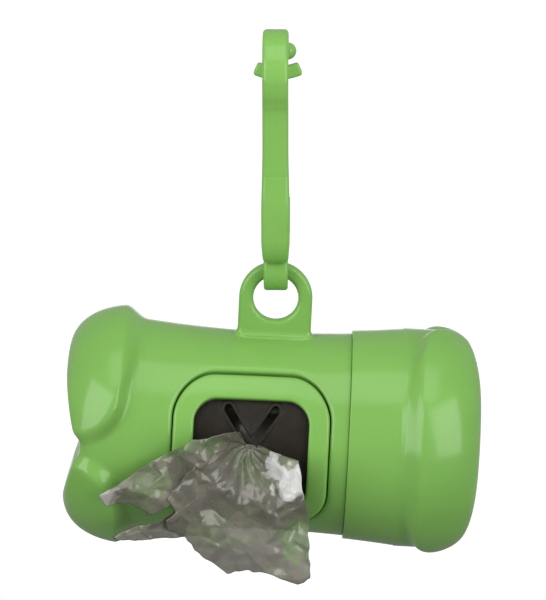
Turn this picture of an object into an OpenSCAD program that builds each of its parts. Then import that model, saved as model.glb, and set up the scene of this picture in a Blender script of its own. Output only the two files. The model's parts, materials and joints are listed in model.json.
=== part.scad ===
// Bone-shaped dispenser for a roll of dog waste bags, hanging from a moulded snap clip.
// X runs along the roll towards the end cap, Y away from the outlet window and Z up.
// The origin is the centre of the clip's bow, which hangs on a belt loop or a lead.

/* [Barrel] */
// Outer radius of the barrel at its waist
waist_r = 20.2; // [19.8:0.1:21.5]
// Outer radius of the barrel where it meets the lobes
foot_r = 21.7; // [21.3:0.1:23]
// Distance from the middle of the barrel to either end
half_len = 42.4; // [41:0.1:50]
// Radius of the chamber for the roll
bore_r = 18; // [16.5:0.1:18.2]
// Wall of the closed end and of the lobes
wall = 2; // [1.4:0.1:2.6]

/* [Lobes] */
// Radius of the circle that the lobes fill, seen along the barrel
lobe_r = 24.3; // [23.8:0.1:26]
// Length of the lobes on the shell, from their ridge to the end
shell_lobe_len = 12; // [11:0.1:14]
// Length of the lobes on the end cap, from their ridge to the end
cap_lobe_len = 12.5; // [11:0.1:14]
// Length of the slope from the ridge down to the barrel
shoulder_len = 3.4; // [2:0.1:4.5]
// Depth of the notch between two lobes, measured on the end face
notch_depth = 4.2; // [2:0.1:5]
// Half the width of the notch at its narrowest
notch_half = 1.5; // [1:0.1:3]
// How much further out the end of a lobe lies for each step away from the notch
end_rise = 0.285; // [0.2:0.005:0.4]
// Radius of the side of each lobe that faces the notch
lobe_side_r = 11.5; // [10.5:0.1:13]

/* [End cap] */
// Distance from the middle of the barrel to the rim of the end cap
seam_x = 15.4; // [14:0.1:18]
// How far the end cap stands out from the barrel
cap_step = 0.6; // [0.2:0.05:0.8]
// Angle that the front lobe of the end cap stands above level
cap_turn = 12; // [0:0.5:20]
// Length of the spigot that the end cap slides on
spigot_len = 11.6; // [8:0.1:14]
// Radius of the spigot
spigot_r = 19.4; // [19:0.05:19.6]
// Clearance between the spigot and the end cap
slide_gap = 0.05; // [0.02:0.01:0.1]
// Joint line between the rim of the end cap and the shell
seam_gap = 0.12; // [0.05:0.01:0.4]

/* [Outlet window] */
// Outer width and height of the frame
bezel_w = 31.2; // [29:0.1:32]
// Inner width and height of the frame
bezel_in = 23; // [20:0.1:24]
// Outer corner radius of the frame
bezel_corner = 8; // [5:0.1:9]
// Inner corner radius of the frame
bezel_in_corner = 4.5; // [3:0.1:6]
// Distance of the window's centre from the middle of the barrel
window_x = -4.1; // [-5:0.1:-3]
// How far the frame stands out from the barrel
bezel_proud = 0.6; // [0.3:0.05:1]
// Joint line between the frame and the shell
bezel_gap = 0.35; // [0.2:0.05:0.6]
// Outer radius of the slotted plate
plate_r = 19.4; // [19:0.1:19.6]
// Thickness of the slotted plate
plate_t = 1.2; // [0.8:0.1:1.4]
// Width of the ledge in the frame that the plate lies against
ledge = 1.3; // [0.8:0.1:1.6]
// Width of the crossed slots
slot_w = 1.65; // [1.2:0.05:2]
// Length of each slot
slot_len = 18.4; // [14:0.1:20]
// Angle of each slot from upright
slot_angle = 34.4; // [25:0.1:50]
// Height of the crossing above the window's centre
slot_up = 2.2; // [0:0.1:3]
// Width of the raised lip along the slots
lip_w = 0.8; // [0.4:0.1:1.2]
// Height of the raised lip along the slots
lip_h = 0.3; // [0.1:0.05:0.5]
// Reach of the snap lips behind the wall
snap_reach = 1.2; // [0.8:0.1:1.6]

/* [Hanging eye] */
// Height of the eye's centre above the middle of the barrel
eye_h = 28.6; // [28:0.1:32]
// Distance of the eye from the middle of the barrel, towards the closed end
eye_shift = 0.5; // [0:0.1:2]
// Radius of the middle of the eye's rim
eye_rim_r = 6; // [5.8:0.05:6.5]
// Radius of the eye's rim section
eye_tube_r = 1.45; // [1.2:0.05:1.5]

/* [Roll of bags] */
// Length of the roll
roll_len = 62; // [55:0.5:66]
// Outer radius of the roll
roll_r = 14.5; // [11:0.1:15]
// Outer radius of the tube inside the roll
core_r = 6.5; // [6:0.1:8]
// Wall of the tube
core_wall = 1.2; // [0.8:0.1:1.4]
// Space between a soft piece and its neighbours
soft_gap = 0.3; // [0.3:0.05:0.4]

/* [Clip] */
// Distance from the centre of the bow to the centre of the eye
clip_len = 45.4; // [44:0.1:52]
// Angle between the clip and the upright of the barrel
hang_tilt = 2.8; // [0:0.1:6]
// Inner radius of the bow
bow_in_r = 6.5; // [6:0.1:7]
// Thickness of the bow and of the front strand
strand_t = 2.6; // [2.2:0.1:3]
// Width of the clip at the bow
bow_w = 5.2; // [4.6:0.1:6]
// Width of the clip at its lower bulge
bulge_w = 5.7; // [5:0.1:6.2]
// Chamfer along the edges of the clip
edge = 0.6; // [0.3:0.05:0.8]
// Angle above level at which the nose ends
nose_angle = 24; // [15:1:35]
// Radius of the knob beside the nose
knob_r = 1.75; // [1.2:0.05:2]
// Inner radius of the small ring at the foot of the clip
ring_in_r = 2.05; // [2:0.05:2.3]
// Outer radius of the small ring
ring_out_r = 4.4; // [4.2:0.05:4.5]
// Width of the small ring
ring_w = 4.6; // [3.4:0.1:4.8]

/* [Gate] */
// Height of the gate's hinge above the eye
gate_hinge_up = 19; // [18:0.1:22]
// Distance of the gate's hinge behind the middle of the clip
gate_hinge_back = 6.2; // [6:0.1:6.6]
// Radius of the gate's hinge
gate_hinge_r = 1.3; // [1:0.05:1.5]
// Running clearance of the gate's hinge
hinge_gap = 0.06; // [0.02:0.01:0.1]
// Thickness of the gate
gate_t = 1.8; // [1.4:0.1:2.2]
// Width of the gate
gate_w = 4.4; // [3.6:0.1:5]
// Inner radius of the curve of the thumb wings
wing_curve = 9.8; // [8:0.1:12]
// Height of the thumb wings
wing_t = 2.6; // [2:0.1:3]
// Half angle that the thumb wings span
wing_angle = 17.5; // [14:0.5:20]

/* [Hidden] */
$fn = 96;

green = [0.52, 0.76, 0.39];
plate_grey = [0.2, 0.18, 0.16];
film_grey = [0.55, 0.54, 0.5];
card_brown = [0.72, 0.6, 0.44];

// Far enough to cut right through anything
far = 200;
// Steps along a curve that is worked out point by point
curve_steps = 8;

// Barrel
barrel_flare = (foot_r - waist_r) / pow(half_len - shell_lobe_len - shoulder_len, 2);
valley_x = half_len - notch_depth;
valley_round = 3;
lobe_side_x = half_len - 1.9;
lobe_side_z = lobe_side_r + notch_half;
// How far the foot of a lobe leans towards the middle of the barrel at its top
lobe_lean = 2.6;

// Points that steer the curve from the end face round to the ridge of a lobe
end_flat_r = lobe_r - 10.8;
end_round_r = lobe_r - 3.8;
ridge_pull = 8;

// Window
snap_t = 0.75;
snap_half = 5;
snap_gap = 0.05;

// Roll
roll_drop = bore_r - roll_r - soft_gap;

// Clip
bow_mid_r = bow_in_r + strand_t / 2;
bow_out_r = bow_in_r + strand_t;
eye_x = clip_len * sin(hang_tilt);
eye_z = -clip_len * cos(hang_tilt);
ring_up = eye_rim_r;
strand_in = 6.2;
bulge_in = 6.8;
bottom_up = ring_up + ring_out_r - 1;
bulge_top = 30;
strap_steps = 4;
// The strand starts this far inside the bow, and this much finer, so that it is wholly in it
tuck_in = 0.5;
tuck = 0.04;
knob_x = 2.35;
dome_step = 15;
knob_at_r = bow_in_r + knob_r + 0.15;
wing_shift = 0.35;
wing_top = 0.2;
gate_tip_y = bow_in_r + 1.4;
knuckle_open = 0.3;
knuckle_extra = 0.9;

// Middle line of the front strand and of the curve under it, as [y, height above the eye]
front_path = [
    [-bow_mid_r, clip_len + tuck_in],
    [-bow_mid_r + 0.35, clip_len - 2.4],
    [-strand_in - 0.5, clip_len - 4.6],
    [-strand_in, clip_len - 7.6],
    [-strand_in, clip_len - 18],
    [-strand_in - 0.1, bottom_up + 16],
    [-bulge_in, bottom_up + 11.6],
    [-bulge_in + 0.1, bottom_up + 8],
    [-bulge_in + 1.1, bottom_up + 4.2],
    [-bulge_in + 3.4, bottom_up + 1.4],
    [-1, bottom_up + 0.1],
    [1, bottom_up + 0.1],
    [gate_hinge_back - 2.8, bottom_up + 1.4],
    [gate_hinge_back - 0.8, bottom_up + 4],
    [gate_hinge_back, gate_hinge_up - gate_hinge_r - 0.9],
    [gate_hinge_back, gate_hinge_up - knuckle_open],
];

// Middle line of the gate, from its hinge up to the wings
gate_path = [
    [gate_hinge_back, gate_hinge_up],
    [gate_hinge_back, gate_hinge_up + 6],
    [gate_hinge_back, clip_len - 9],
    [gate_hinge_back + 0.4, clip_len - 6],
    [gate_hinge_back + 1.2, clip_len - 3.6],
    [gate_tip_y, clip_len - 1.6],
];

// Outline of the hanging film, as [x, z] from the middle of the barrel
tail_outline = [
    [-8, 5], [-15.5, 4.5], [-21.5, 0.5], [-33.5, -8], [-32, -9.5], [-24, -12],
    [-30.5, -16], [-20, -15.5], [-17, -14.5], [-14, -18], [-7.5, -22], [0, -21.5],
    [6.5, -23], [9, -22], [8.5, -14], [7, -6], [5.5, 2], [-1, 4],
];
tail_front = -27.6;
tail_back = -24.9;
neck_len = 5;
neck_fit = 0.3;
spread_w = 17;
spread_h = 13;

function barrel_r(x) = waist_r + barrel_flare * x * x;

function bezier(a, b, c, d) = [for (i = [0:curve_steps])
    let (t = i / curve_steps, s = 1 - t)
    s * s * s * a + 3 * s * s * t * b + 3 * s * t * t * c + t * t * t * d];

// A smooth line through hand-set points
function through(p, n) = [for (i = [0:len(p) - 2], j = [0:n - 1])
    let (a = p[max(i - 1, 0)], b = p[i], c = p[i + 1], d = p[min(i + 2, len(p) - 1)], t = j / n)
    0.5 * (2 * b + (c - a) * t + (2 * a - 5 * b + 4 * c - d) * t * t
        + (3 * b - a - 3 * c + d) * t * t * t)];

function unit(v) = v / norm(v);

// Barrel outline from one place to another, raised by lift
function barrel_line(from, to, lift) = [for (i = [0:curve_steps])
    let (x = from + (to - from) * i / curve_steps) [barrel_r(x) + lift, x]];

// Turns a [radius, x] outline about the barrel's axis
module about_x() {
    rotate([0, 90, 0]) rotate_extrude() children();
}

// A round bar along X
module rod(r, from, to) {
    translate([from, 0, 0]) rotate([0, 90, 0]) cylinder(r = r, h = to - from);
}

// A bar with rounded corners along Y, in front of the axis
module front_prism(w, corner) {
    reach = w / 2 - corner;
    translate([window_x, 0, 0]) rotate([90, 0, 0]) {
        translate([-w / 2, -reach, 0]) cube([w, 2 * reach, far]);
        translate([-reach, -w / 2, 0]) cube([2 * reach, w, far]);
        for (x = [-reach, reach], z = [-reach, reach])
            translate([x, z, 0]) cylinder(r = corner, h = far);
    }
}

// Body of turning with the full outline of both lobes, inset by the wall for the hollow inside
module lobe_head(lobe_len, inset) {
    ridge = half_len - lobe_len;
    slope = inset > 0 ? 0 : shoulder_len;
    curve = bezier([end_flat_r - inset, half_len - inset],
                   [end_round_r - inset, half_len - inset],
                   [lobe_r - inset, ridge + ridge_pull],
                   [lobe_r - inset, ridge + (inset > 0 ? wall / 2 : 0)]);
    about_x() polygon(concat([[0, half_len - inset]], curve,
        [[foot_r - inset, ridge - slope], [0, ridge - slope]]));
}

// One lobe seen from the side: round towards the notch, with an end that slopes back to it
module lobe_side(inset) {
    end_x = valley_x - inset * sqrt(1 + end_rise * end_rise);
    side_r = lobe_side_r - inset;
    intersection() {
        translate([lobe_side_x, lobe_side_z]) {
            circle(r = side_r);
            polygon([[-side_r, 0], [side_r, 0], [side_r, half_len], [-side_r - lobe_lean, half_len],
                [-side_r - lobe_lean, side_r - lobe_lean]]);
        }
        polygon([[0, 0], [end_x, 0], [end_x + end_rise * half_len, half_len], [0, half_len]]);
    }
}

// The two lobes, side by side across Z
module lobes(lobe_len, inset) {
    intersection() {
        lobe_head(lobe_len, inset);
        for (turn = [0, 180])
            rotate([90 + turn, 0, 0]) translate([0, 0, -far / 2])
                linear_extrude(far) lobe_side(inset);
    }
}

// Barrel with a rounded closed end
module barrel(from, lift) {
    round_x = valley_x - valley_round;
    end_r = foot_r + lift;
    rounding = [for (i = [0:curve_steps])
        let (a = 90 * i / curve_steps)
        [end_r - valley_round * (1 - cos(a)), round_x + valley_round * sin(a)]];
    foot_x = half_len - shell_lobe_len - shoulder_len;
    about_x() polygon(concat([[0, from]], barrel_line(from, foot_x, lift), rounding,
        [[0, valley_x]]));
}

module eye() {
    translate([-eye_shift, 0, 0]) {
        translate([0, 0, eye_h]) rotate([90, 0, 0])
            rotate_extrude() translate([eye_rim_r, 0]) circle(r = eye_tube_r);
        difference() {
            union() {
                translate([-eye_rim_r, -eye_tube_r, 0])
                    cube([2 * eye_rim_r, 2 * eye_tube_r, eye_h]);
                for (side = [-1, 1])
                    translate([side * eye_rim_r, 0, 0]) cylinder(r = eye_tube_r, h = eye_h);
            }
            translate([0, far / 2, eye_h]) rotate([90, 0, 0])
                cylinder(r = eye_rim_r, h = far);
        }
    }
}

module shell() {
    mouth_x = seam_x + spigot_len;
    color(green) difference() {
        union() {
            mirror([1, 0, 0]) barrel(-seam_x, 0);
            mirror([1, 0, 0]) lobes(shell_lobe_len, 0);
            rod(spigot_r, 0, mouth_x);
            eye();
        }
        rod(bore_r, wall - valley_x, mouth_x + 1);
        mirror([1, 0, 0]) lobes(shell_lobe_len, wall);
        front_prism(bezel_w + 2 * bezel_gap, bezel_corner + bezel_gap);
    }
}

module end_cap() {
    cap_bore = spigot_r + slide_gap;
    color(green) difference() {
        union() {
            barrel(seam_x + seam_gap, cap_step);
            rotate([90 - cap_turn, 0, 0]) lobes(cap_lobe_len, 0);
        }
        rod(cap_bore, 0, valley_x - wall);
        rotate([90 - cap_turn, 0, 0]) lobes(cap_lobe_len, wall);
    }
}

// Part of a tube about the barrel's axis, in front of the window
module tube_front(inner, outer) {
    difference() {
        rod(outer, -half_len, half_len);
        rod(inner, -half_len - 1, half_len + 1);
    }
}

module outlet_bezel() {
    ledge_w = bezel_in + 2 * ledge;
    side_x = bezel_w / 2;
    color(green) {
        difference() {
            intersection() {
                about_x() polygon(concat([[bore_r, -side_x + window_x - 1]],
                    barrel_line(-side_x + window_x - 1, side_x + window_x + 1, bezel_proud),
                    [[bore_r, side_x + window_x + 1]]));
                front_prism(bezel_w, bezel_corner);
            }
            front_prism(bezel_in, bezel_in_corner);
            intersection() {
                front_prism(ledge_w, bezel_in_corner + ledge);
                rod(plate_r, -half_len, half_len);
            }
        }
        for (side = [-1, 1])
            intersection() {
                tube_front(bore_r - snap_gap - snap_t, bore_r - snap_gap);
                translate([window_x + side * side_x, -far / 2, 0])
                    cube([2 * snap_reach, far, 2 * snap_half], center = true);
            }
        for (side = [-1, 1])
            intersection() {
                tube_front(bore_r - snap_gap - snap_t, bore_r + snap_gap);
                translate([window_x + side * (side_x - snap_reach), -far / 2, 0])
                    cube([2 * snap_reach, far, 2 * snap_half], center = true);
            }
    }
}

// Two crossed bars with round ends, through the plate
module crossed_bars(length, w) {
    reach = (length - w) / 2;
    translate([window_x, 0, slot_up]) for (side = [-1, 1])
        rotate([0, side * slot_angle, 0]) rotate([90, 0, 0]) {
            translate([-w / 2, -reach, 0]) cube([w, 2 * reach, far]);
            for (z = [-reach, reach])
                translate([0, z, 0]) cylinder(r = w / 2, h = far);
        }
}

module outlet_membrane() {
    plate_w = bezel_in + 2 * ledge;
    color(plate_grey) difference() {
        union() {
            intersection() {
                tube_front(plate_r - plate_t, plate_r);
                front_prism(plate_w, bezel_in_corner + ledge);
            }
            intersection() {
                tube_front(plate_r - plate_t, plate_r + lip_h);
                crossed_bars(slot_len + 2 * lip_w, slot_w + 2 * lip_w);
            }
        }
        crossed_bars(slot_len, slot_w);
    }
}

module roll_core() {
    color(card_brown) translate([0, 0, -roll_drop]) difference() {
        rod(core_r, -roll_len / 2, roll_len / 2);
        rod(core_r - core_wall, -roll_len / 2 - 1, roll_len / 2 + 1);
    }
}

module bag_roll() {
    color(film_grey) translate([0, 0, -roll_drop]) difference() {
        rod(roll_r, -roll_len / 2, roll_len / 2);
        rod(core_r, -roll_len / 2 - 1, roll_len / 2 + 1);
    }
}

module bag_tail() {
    neck_w = slot_w - 2 * neck_fit;
    color(film_grey) {
        translate([0, tail_back, 0]) rotate([90, 0, 0])
            linear_extrude(height = tail_back - tail_front) polygon(tail_outline);
        // Film that spreads from the slots to the hanging part
        hull() {
            translate([window_x, -plate_r - 1, slot_up])
                cube([neck_w, neck_fit, neck_w], center = true);
            translate([window_x - spread_w / 2, tail_back - neck_fit, slot_up - spread_h])
                cube([spread_w, neck_fit / 2, spread_h]);
        }
        // Film pinched in the crossing of the slots
        difference() {
            intersection() {
                crossed_bars(neck_len, neck_w);
                translate([-far / 2, -plate_r - 1, -far / 2]) cube([far, far, far]);
            }
            translate([0, 0, -roll_drop]) rod(roll_r + soft_gap, -far, far);
        }
    }
}

// Flat-sided bar section with chamfered edges, w across and t thick
function bar_section(w, t) = [
    [w / 2, -t / 2 + edge], [w / 2, t / 2 - edge], [w / 2 - edge, t / 2],
    [-w / 2 + edge, t / 2], [-w / 2, t / 2 - edge], [-w / 2, -t / 2 + edge],
    [-w / 2 + edge, -t / 2], [w / 2 - edge, -t / 2],
];

// Bar that follows a line of [y, height above the eye] with a width and thickness at each place,
// leaving square to start
module strap(line, widths, thicks, start) {
    n = len(line);
    rings = [for (i = [0:n - 1])
        let (d = i == 0 ? start : unit(line[min(i + 1, n - 1)] - line[max(i - 1, 0)]))
        for (q = bar_section(widths[i], thicks[i]))
            [q[0], line[i][0] - q[1] * d[1], line[i][1] - clip_len + q[1] * d[0]]];
    sides = [for (i = [0:n - 2], k = [0:7])
        let (a = i * 8 + k, b = i * 8 + (k + 1) % 8)
        [a, b, b + 8, a + 8]];
    polyhedron(rings, concat([[for (k = [7:-1:0]) k]], sides,
        [[for (k = [0:7]) (n - 1) * 8 + k]]), convexity = 8);
}

// Part of a ring about X with a chamfered bar section, from one angle to another
module ring_part(r_in, r_out, w, from, to) {
    rotate([90, 0, 90]) rotate([0, 0, from])
        rotate_extrude(angle = to - from) translate([(r_in + r_out) / 2, 0]) rotate(90)
            polygon(bar_section(w, r_out - r_in));
}

// Short rod along X with a domed end
module knob() {
    dome = [for (a = [0:dome_step:90 - dome_step]) knob_r * [cos(a), sin(a)] + [0, knob_x]];
    rotate([0, 90, 0]) rotate_extrude()
        polygon(concat([[0, 0], [knob_r, 0]], dome, [[0, dome[len(dome) - 1][1]]]));
}

module clip_hook() {
    front = through(front_path, strap_steps);
    widths = [for (p = front) lookup(p[1], [
        [bottom_up, bow_w], [bottom_up + 3, bulge_w],
        [bulge_top - 10, bulge_w], [bulge_top, bow_w - 2 * tuck]])];
    thicks = [for (p = front) p[0] < 0 ? strand_t - 2 * tuck : lookup(p[1], [
        [bottom_up + 4, strand_t], [gate_hinge_up, strand_t + knuckle_extra]])];
    color(green) rotate([0, -hang_tilt, 0]) difference() {
        union() {
            ring_part(bow_in_r, bow_out_r, bow_w, nose_angle, 180);
            strap(front, widths, thicks, [0, -1]);
            translate([0, 0, ring_up - clip_len])
                ring_part(ring_in_r, ring_out_r, ring_w, 0, 360);
            translate([0, knob_at_r * cos(nose_angle), knob_at_r * sin(nose_angle)]) knob();
        }
        translate([0, gate_hinge_back, gate_hinge_up - clip_len])
            rod(gate_hinge_r + hinge_gap, -bulge_w, bulge_w);
        translate([0, 0, ring_up - clip_len]) rod(ring_in_r, -bulge_w, bulge_w);
    }
}

module thumb_wings() {
    mid_r = wing_curve + wing_t / 2;
    translate([wing_shift, gate_tip_y + strand_t / 2 - 0.1, wing_top + wing_curve])
        rotate([90, 0, 0]) {
            rotate([0, 0, -90 - wing_angle]) rotate_extrude(angle = 2 * wing_angle)
                translate([wing_curve, 0]) square([wing_t, strand_t]);
            for (side = [-1, 1])
                rotate([0, 0, -90 + side * wing_angle]) translate([mid_r, 0, 0])
                    cylinder(r = wing_t / 2, h = strand_t);
        }
}

module clip_gate() {
    line = through(gate_path, strap_steps);
    color(green) rotate([0, -hang_tilt, 0]) {
        strap(line, [for (p = line) gate_w], [for (p = line) gate_t], [0, 1]);
        translate([0, gate_hinge_back, gate_hinge_up - clip_len])
            rod(gate_hinge_r, -gate_w / 2, gate_w / 2);
        thumb_wings();
    }
}

// Puts a piece of the dispenser under the clip
module hung() {
    translate([eye_x + eye_shift, 0, eye_z - eye_h]) children();
}

clip_hook();
clip_gate();
hung() shell();
hung() end_cap();
hung() outlet_bezel();
hung() outlet_membrane();
hung() roll_core();
hung() bag_roll();
hung() bag_tail();
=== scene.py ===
"""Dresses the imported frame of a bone-shaped dispenser for a roll of dog waste bags."""

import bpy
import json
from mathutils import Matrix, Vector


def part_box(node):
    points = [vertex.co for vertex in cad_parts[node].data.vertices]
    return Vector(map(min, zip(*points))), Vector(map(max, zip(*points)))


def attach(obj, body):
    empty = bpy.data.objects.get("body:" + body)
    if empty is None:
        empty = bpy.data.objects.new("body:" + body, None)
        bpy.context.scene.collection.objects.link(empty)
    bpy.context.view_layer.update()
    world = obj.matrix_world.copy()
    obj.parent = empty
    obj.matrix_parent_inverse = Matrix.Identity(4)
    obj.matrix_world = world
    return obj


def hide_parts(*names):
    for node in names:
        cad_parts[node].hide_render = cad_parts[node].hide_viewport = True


bl_info = {
    "name": "Bag Dispenser",
    "version": (1, 0, 0),
    "blender": (4, 5, 0),
    "location": "View3D > Sidebar > Dispenser",
    "description": "Builds the pieces, the finishes and the stage of a hanging bag dispenser",
    "category": "Object",
}

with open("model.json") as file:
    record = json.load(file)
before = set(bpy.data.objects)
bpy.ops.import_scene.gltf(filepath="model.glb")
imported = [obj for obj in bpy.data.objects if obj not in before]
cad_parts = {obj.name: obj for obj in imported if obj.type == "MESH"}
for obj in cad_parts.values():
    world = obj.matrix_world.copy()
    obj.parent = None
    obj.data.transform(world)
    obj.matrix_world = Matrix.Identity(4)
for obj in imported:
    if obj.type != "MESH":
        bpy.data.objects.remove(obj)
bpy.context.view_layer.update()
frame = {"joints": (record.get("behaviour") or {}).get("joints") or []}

import json
import math

import bmesh
import bpy
import numpy as np
from bpy.props import FloatProperty, FloatVectorProperty, IntProperty, PointerProperty
from mathutils import Matrix, Vector
from mathutils.geometry import delaunay_2d_cdt

MM = 0.001
JOINTS = {joint["name"]: joint for joint in frame["joints"]}

# Places that the frame gives: the middle of the barrel, the hanging eye, the roll and the clip
SHELL_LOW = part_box("shell")[0]
CAP_LOW, CAP_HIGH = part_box("end_cap")
HALF_LEN = (CAP_HIGH[0] - SHELL_LOW[0]) / 2
MIDDLE = np.array([(CAP_HIGH[0] + SHELL_LOW[0]) / 2, 0.0, (CAP_LOW[2] + CAP_HIGH[2]) / 2])
EYE = np.array(JOINTS["hanging_swing"]["pos_m"])
ROLL_MIDDLE = np.array(JOINTS["roll_turn"]["pos_m"])
GATE_AXIS = JOINTS["gate_flex"]["axis"]
TILT = math.atan2(GATE_AXIS[2], GATE_AXIS[0])
CLIP_LEN = float(np.linalg.norm(EYE))

# Points round the barrel, counted from the back, so that the window lies in the middle
ROUND = 240
ANGLES = np.linspace(-math.pi, math.pi, ROUND, endpoint=False)

# Size of the picture, and the column and row where the middle of the barrel falls in it
PICTURE_W, PICTURE_H = 546, 600
MIDDLE_COLUMN, MIDDLE_ROW = 271.6, 430.5


def size(name, default, description):
    """A length that the user may change, given here in millimetres."""
    return FloatProperty(
        name=name, description=description, default=default * MM, min=0.0, unit="LENGTH", precision=5
    )


def metres(name, default, description):
    """A place or a length that the user may change, given here in metres."""
    return FloatProperty(
        name=name, description=description, default=default, unit="LENGTH", precision=5
    )


def turn(name, default, description):
    """An angle that the user may change, given here in degrees."""
    return FloatProperty(
        name=name, description=description, default=math.radians(default), unit="ROTATION"
    )


def share(name, default, description):
    """A number from 0 to 1 that the user may change."""
    return FloatProperty(
        name=name, description=description, default=default, min=0.0, max=1.0, subtype="FACTOR"
    )


def glow(name, default, description):
    """The brightness of a light or of a wall that the user may change."""
    return FloatProperty(name=name, description=description, default=default, min=0.0)


def number(name, default, description):
    """A whole number that the user may change."""
    return IntProperty(name=name, description=description, default=default, min=1)


def colour(name, default, description):
    """A linear colour that the user may change."""
    return FloatVectorProperty(
        name=name, description=description, default=default, size=3, min=0.0, max=1.0, subtype="COLOR"
    )


class BarrelSizes(bpy.types.PropertyGroup):
    waist_r: size("Waist radius", 20.2, "Outer radius of the barrel at its waist")
    foot_r: size("Foot radius", 21.7, "Outer radius of the barrel where it meets the lobes")
    bore_r: size("Bore radius", 18.0, "Radius of the chamber for the roll")
    wall: size("Wall", 2.0, "Wall of the closed end and of the lobes")
    lobe_r: size("Lobe radius", 24.3, "Radius that the lobes fill, seen along the barrel")
    shell_lobe: size("Shell lobe length", 12.0, "From the ridge of the shell's lobes to their end")
    cap_lobe: size("Cap lobe length", 12.5, "From the ridge of the cap's lobes to their end")
    shoulder: size("Shoulder length", 3.4, "Slope from the ridge down to the barrel")
    shoulder_soft: size("Shoulder rounding", 0.6, "How far the slope runs out at either end")
    notch_depth: size("Notch depth", 4.2, "Depth of the notch, measured on the end face")
    notch_half: size("Notch half width", 1.5, "Half the width of the notch at its narrowest")
    inner_shoulder: size("Inner shoulder", 1.0, "Slope from the chamber into a hollow lobe")
    inner_round: size("Inner rounding", 0.5, "Rounding of a hollow lobe's end in the notch")
    ridge_run: size("Ridge run", 4.1, "How far past its ridge a lobe starts to round off")
    ridge_fall: size("Ridge fall", 0.4, "How much a lobe has fallen away by then")
    end_in: size("End inset", 0.35, "How far the ends are worn back from their full length")
    end_round: size("End corner", 2.3, "How far in from the lobe's radius its corner turns")
    end_flat: size("End flat", 9.9, "How far in from the lobe's radius its end is flat")
    end_step: size("End step", 1.0, "How much more a lobe stands out beside the notch")
    step_run: size("End step run", 3.0, "Distance from the notch over which that step rises")
    front_run: size("Front run", 12.0, "Half the height over which that step fades to the back")
    end_rise: share("End rise", 0.22, "How much further out a lobe ends per step from the notch")
    end_soft: size("End rounding", 0.3, "Rounding between the end and the side of a lobe")
    side_r: size("Lobe side radius", 11.5, "Radius of the side of a lobe that faces the notch")
    side_in: size("Lobe side inset", 1.9, "From the end face to the middle of that radius")
    side_lean: size("Lobe side lean", 3.6, "How far the foot of a lobe leans in at its top")
    valley_round: size("Valley rounding", 3.0, "Rounding of the end in the notch")
    soft_in: size("Lobe roll-off", 2.1, "How far inside its outline a lobe starts to fall away")
    soft_out: size("Lobe fillet", 1.0, "How far outside its outline a lobe has run out")
    seam_x: size("Seam place", 15.4, "From the middle of the barrel to the end cap's rim")
    seam_gap: size("Seam gap", 0.04, "Joint line between the end cap and the shell")
    seam_edge: size("Seam edge", 0.14, "Rounding of the edges along the seam")
    cap_step: size("Cap step", 0.6, "How far the end cap stands out from the barrel")
    cap_turn: turn("Cap turn", 12.0, "Angle of the cap's front lobe above level")
    spigot_r: size("Spigot radius", 19.4, "Radius of the spigot that carries the end cap")
    spigot_len: size("Spigot length", 11.6, "Length of the spigot")
    slide_gap: size("Slide gap", 0.05, "Clearance between the spigot and the end cap")
    chamfer: size("Chamfer", 0.4, "Chamfer at the mouths of the spigot and the end cap")
    lip: size("Seam lip", 0.3, "Height of the flat ring inside the seam")


class EyeSizes(bpy.types.PropertyGroup):
    rim_r: size("Rim radius", 6.0, "Radius of the middle of the eye's rim")
    tube_r: size("Rim section", 1.45, "Radius of the rim's section")
    sink: size("Eye sink", 0.45, "How far the rim hangs below the joint's axis")
    foot_fillet: size("Foot fillet", 1.3, "Fillet between the tab and the barrel")
    root: size("Root radius", 18.6, "How deep the tab is rooted, from the barrel's axis")


class WindowSizes(bpy.types.PropertyGroup):
    place: metres("Window place", -4.1 * MM, "Middle of the window along the barrel")
    outer: size("Frame width", 31.2, "Outer width and height of the frame")
    inner: size("Opening width", 23.0, "Inner width and height of the frame")
    outer_corner: size("Frame corner", 8.0, "Outer corner radius of the frame")
    inner_corner: size("Opening corner", 4.5, "Inner corner radius of the frame")
    proud: size("Frame height", 0.6, "How far the frame stands out from the barrel")
    gap: size("Frame gap", 0.26, "Joint line between the frame and the shell")
    outer_edge: size("Outer edge", 0.75, "Rounding of the frame's outer edge")
    inner_edge: size("Inner edge", 0.5, "Rounding of the frame's inner edge")
    roll_width: size("Recess width", 1.2, "Width over which the shell rolls in to the window")
    roll_depth: size("Recess depth", 0.5, "Depth to which the shell rolls in to the window")
    margin: size("Patch margin", 2.9, "Margin of the skin that is fitted round the window")
    crown: size("Frame crown", 0.05, "How much the frame is raised along its middle")
    ledge: size("Ledge", 1.3, "Ledge in the frame that the plate lies against")
    plate_r: size("Plate radius", 19.4, "Outer radius of the slotted plate")
    plate_t: size("Plate thickness", 1.2, "Thickness of the slotted plate")
    slot_w: size("Slot width", 1.65, "Width of the crossed slots")
    slot_len: size("Slot length", 18.4, "Length of each slot")
    slot_angle: turn("Slot angle", 34.4, "Angle of each slot from upright")
    slot_up: size("Crossing height", 2.2, "Height of the crossing above the window's middle")
    lip_w: size("Lip width", 0.8, "Width of the raised lip along the slots")
    lip_h: size("Lip height", 0.3, "Height of the raised lip along the slots")
    slot_edge: size("Slot edge", 0.4, "Depth over which the lip's foot rounds into the slot")
    plate_clear: size("Plate clearance", 0.03, "Clearance between the plate and the frame")
    snap_reach: size("Snap reach", 1.2, "Reach of the snap lips behind the wall")
    snap_t: size("Snap thickness", 0.75, "Thickness of the snap lips")
    snap_half: size("Snap half height", 5.0, "Half the height of the snap lips")
    snap_gap: size("Snap gap", 0.05, "Clearance between the snap lips and the wall")


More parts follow.
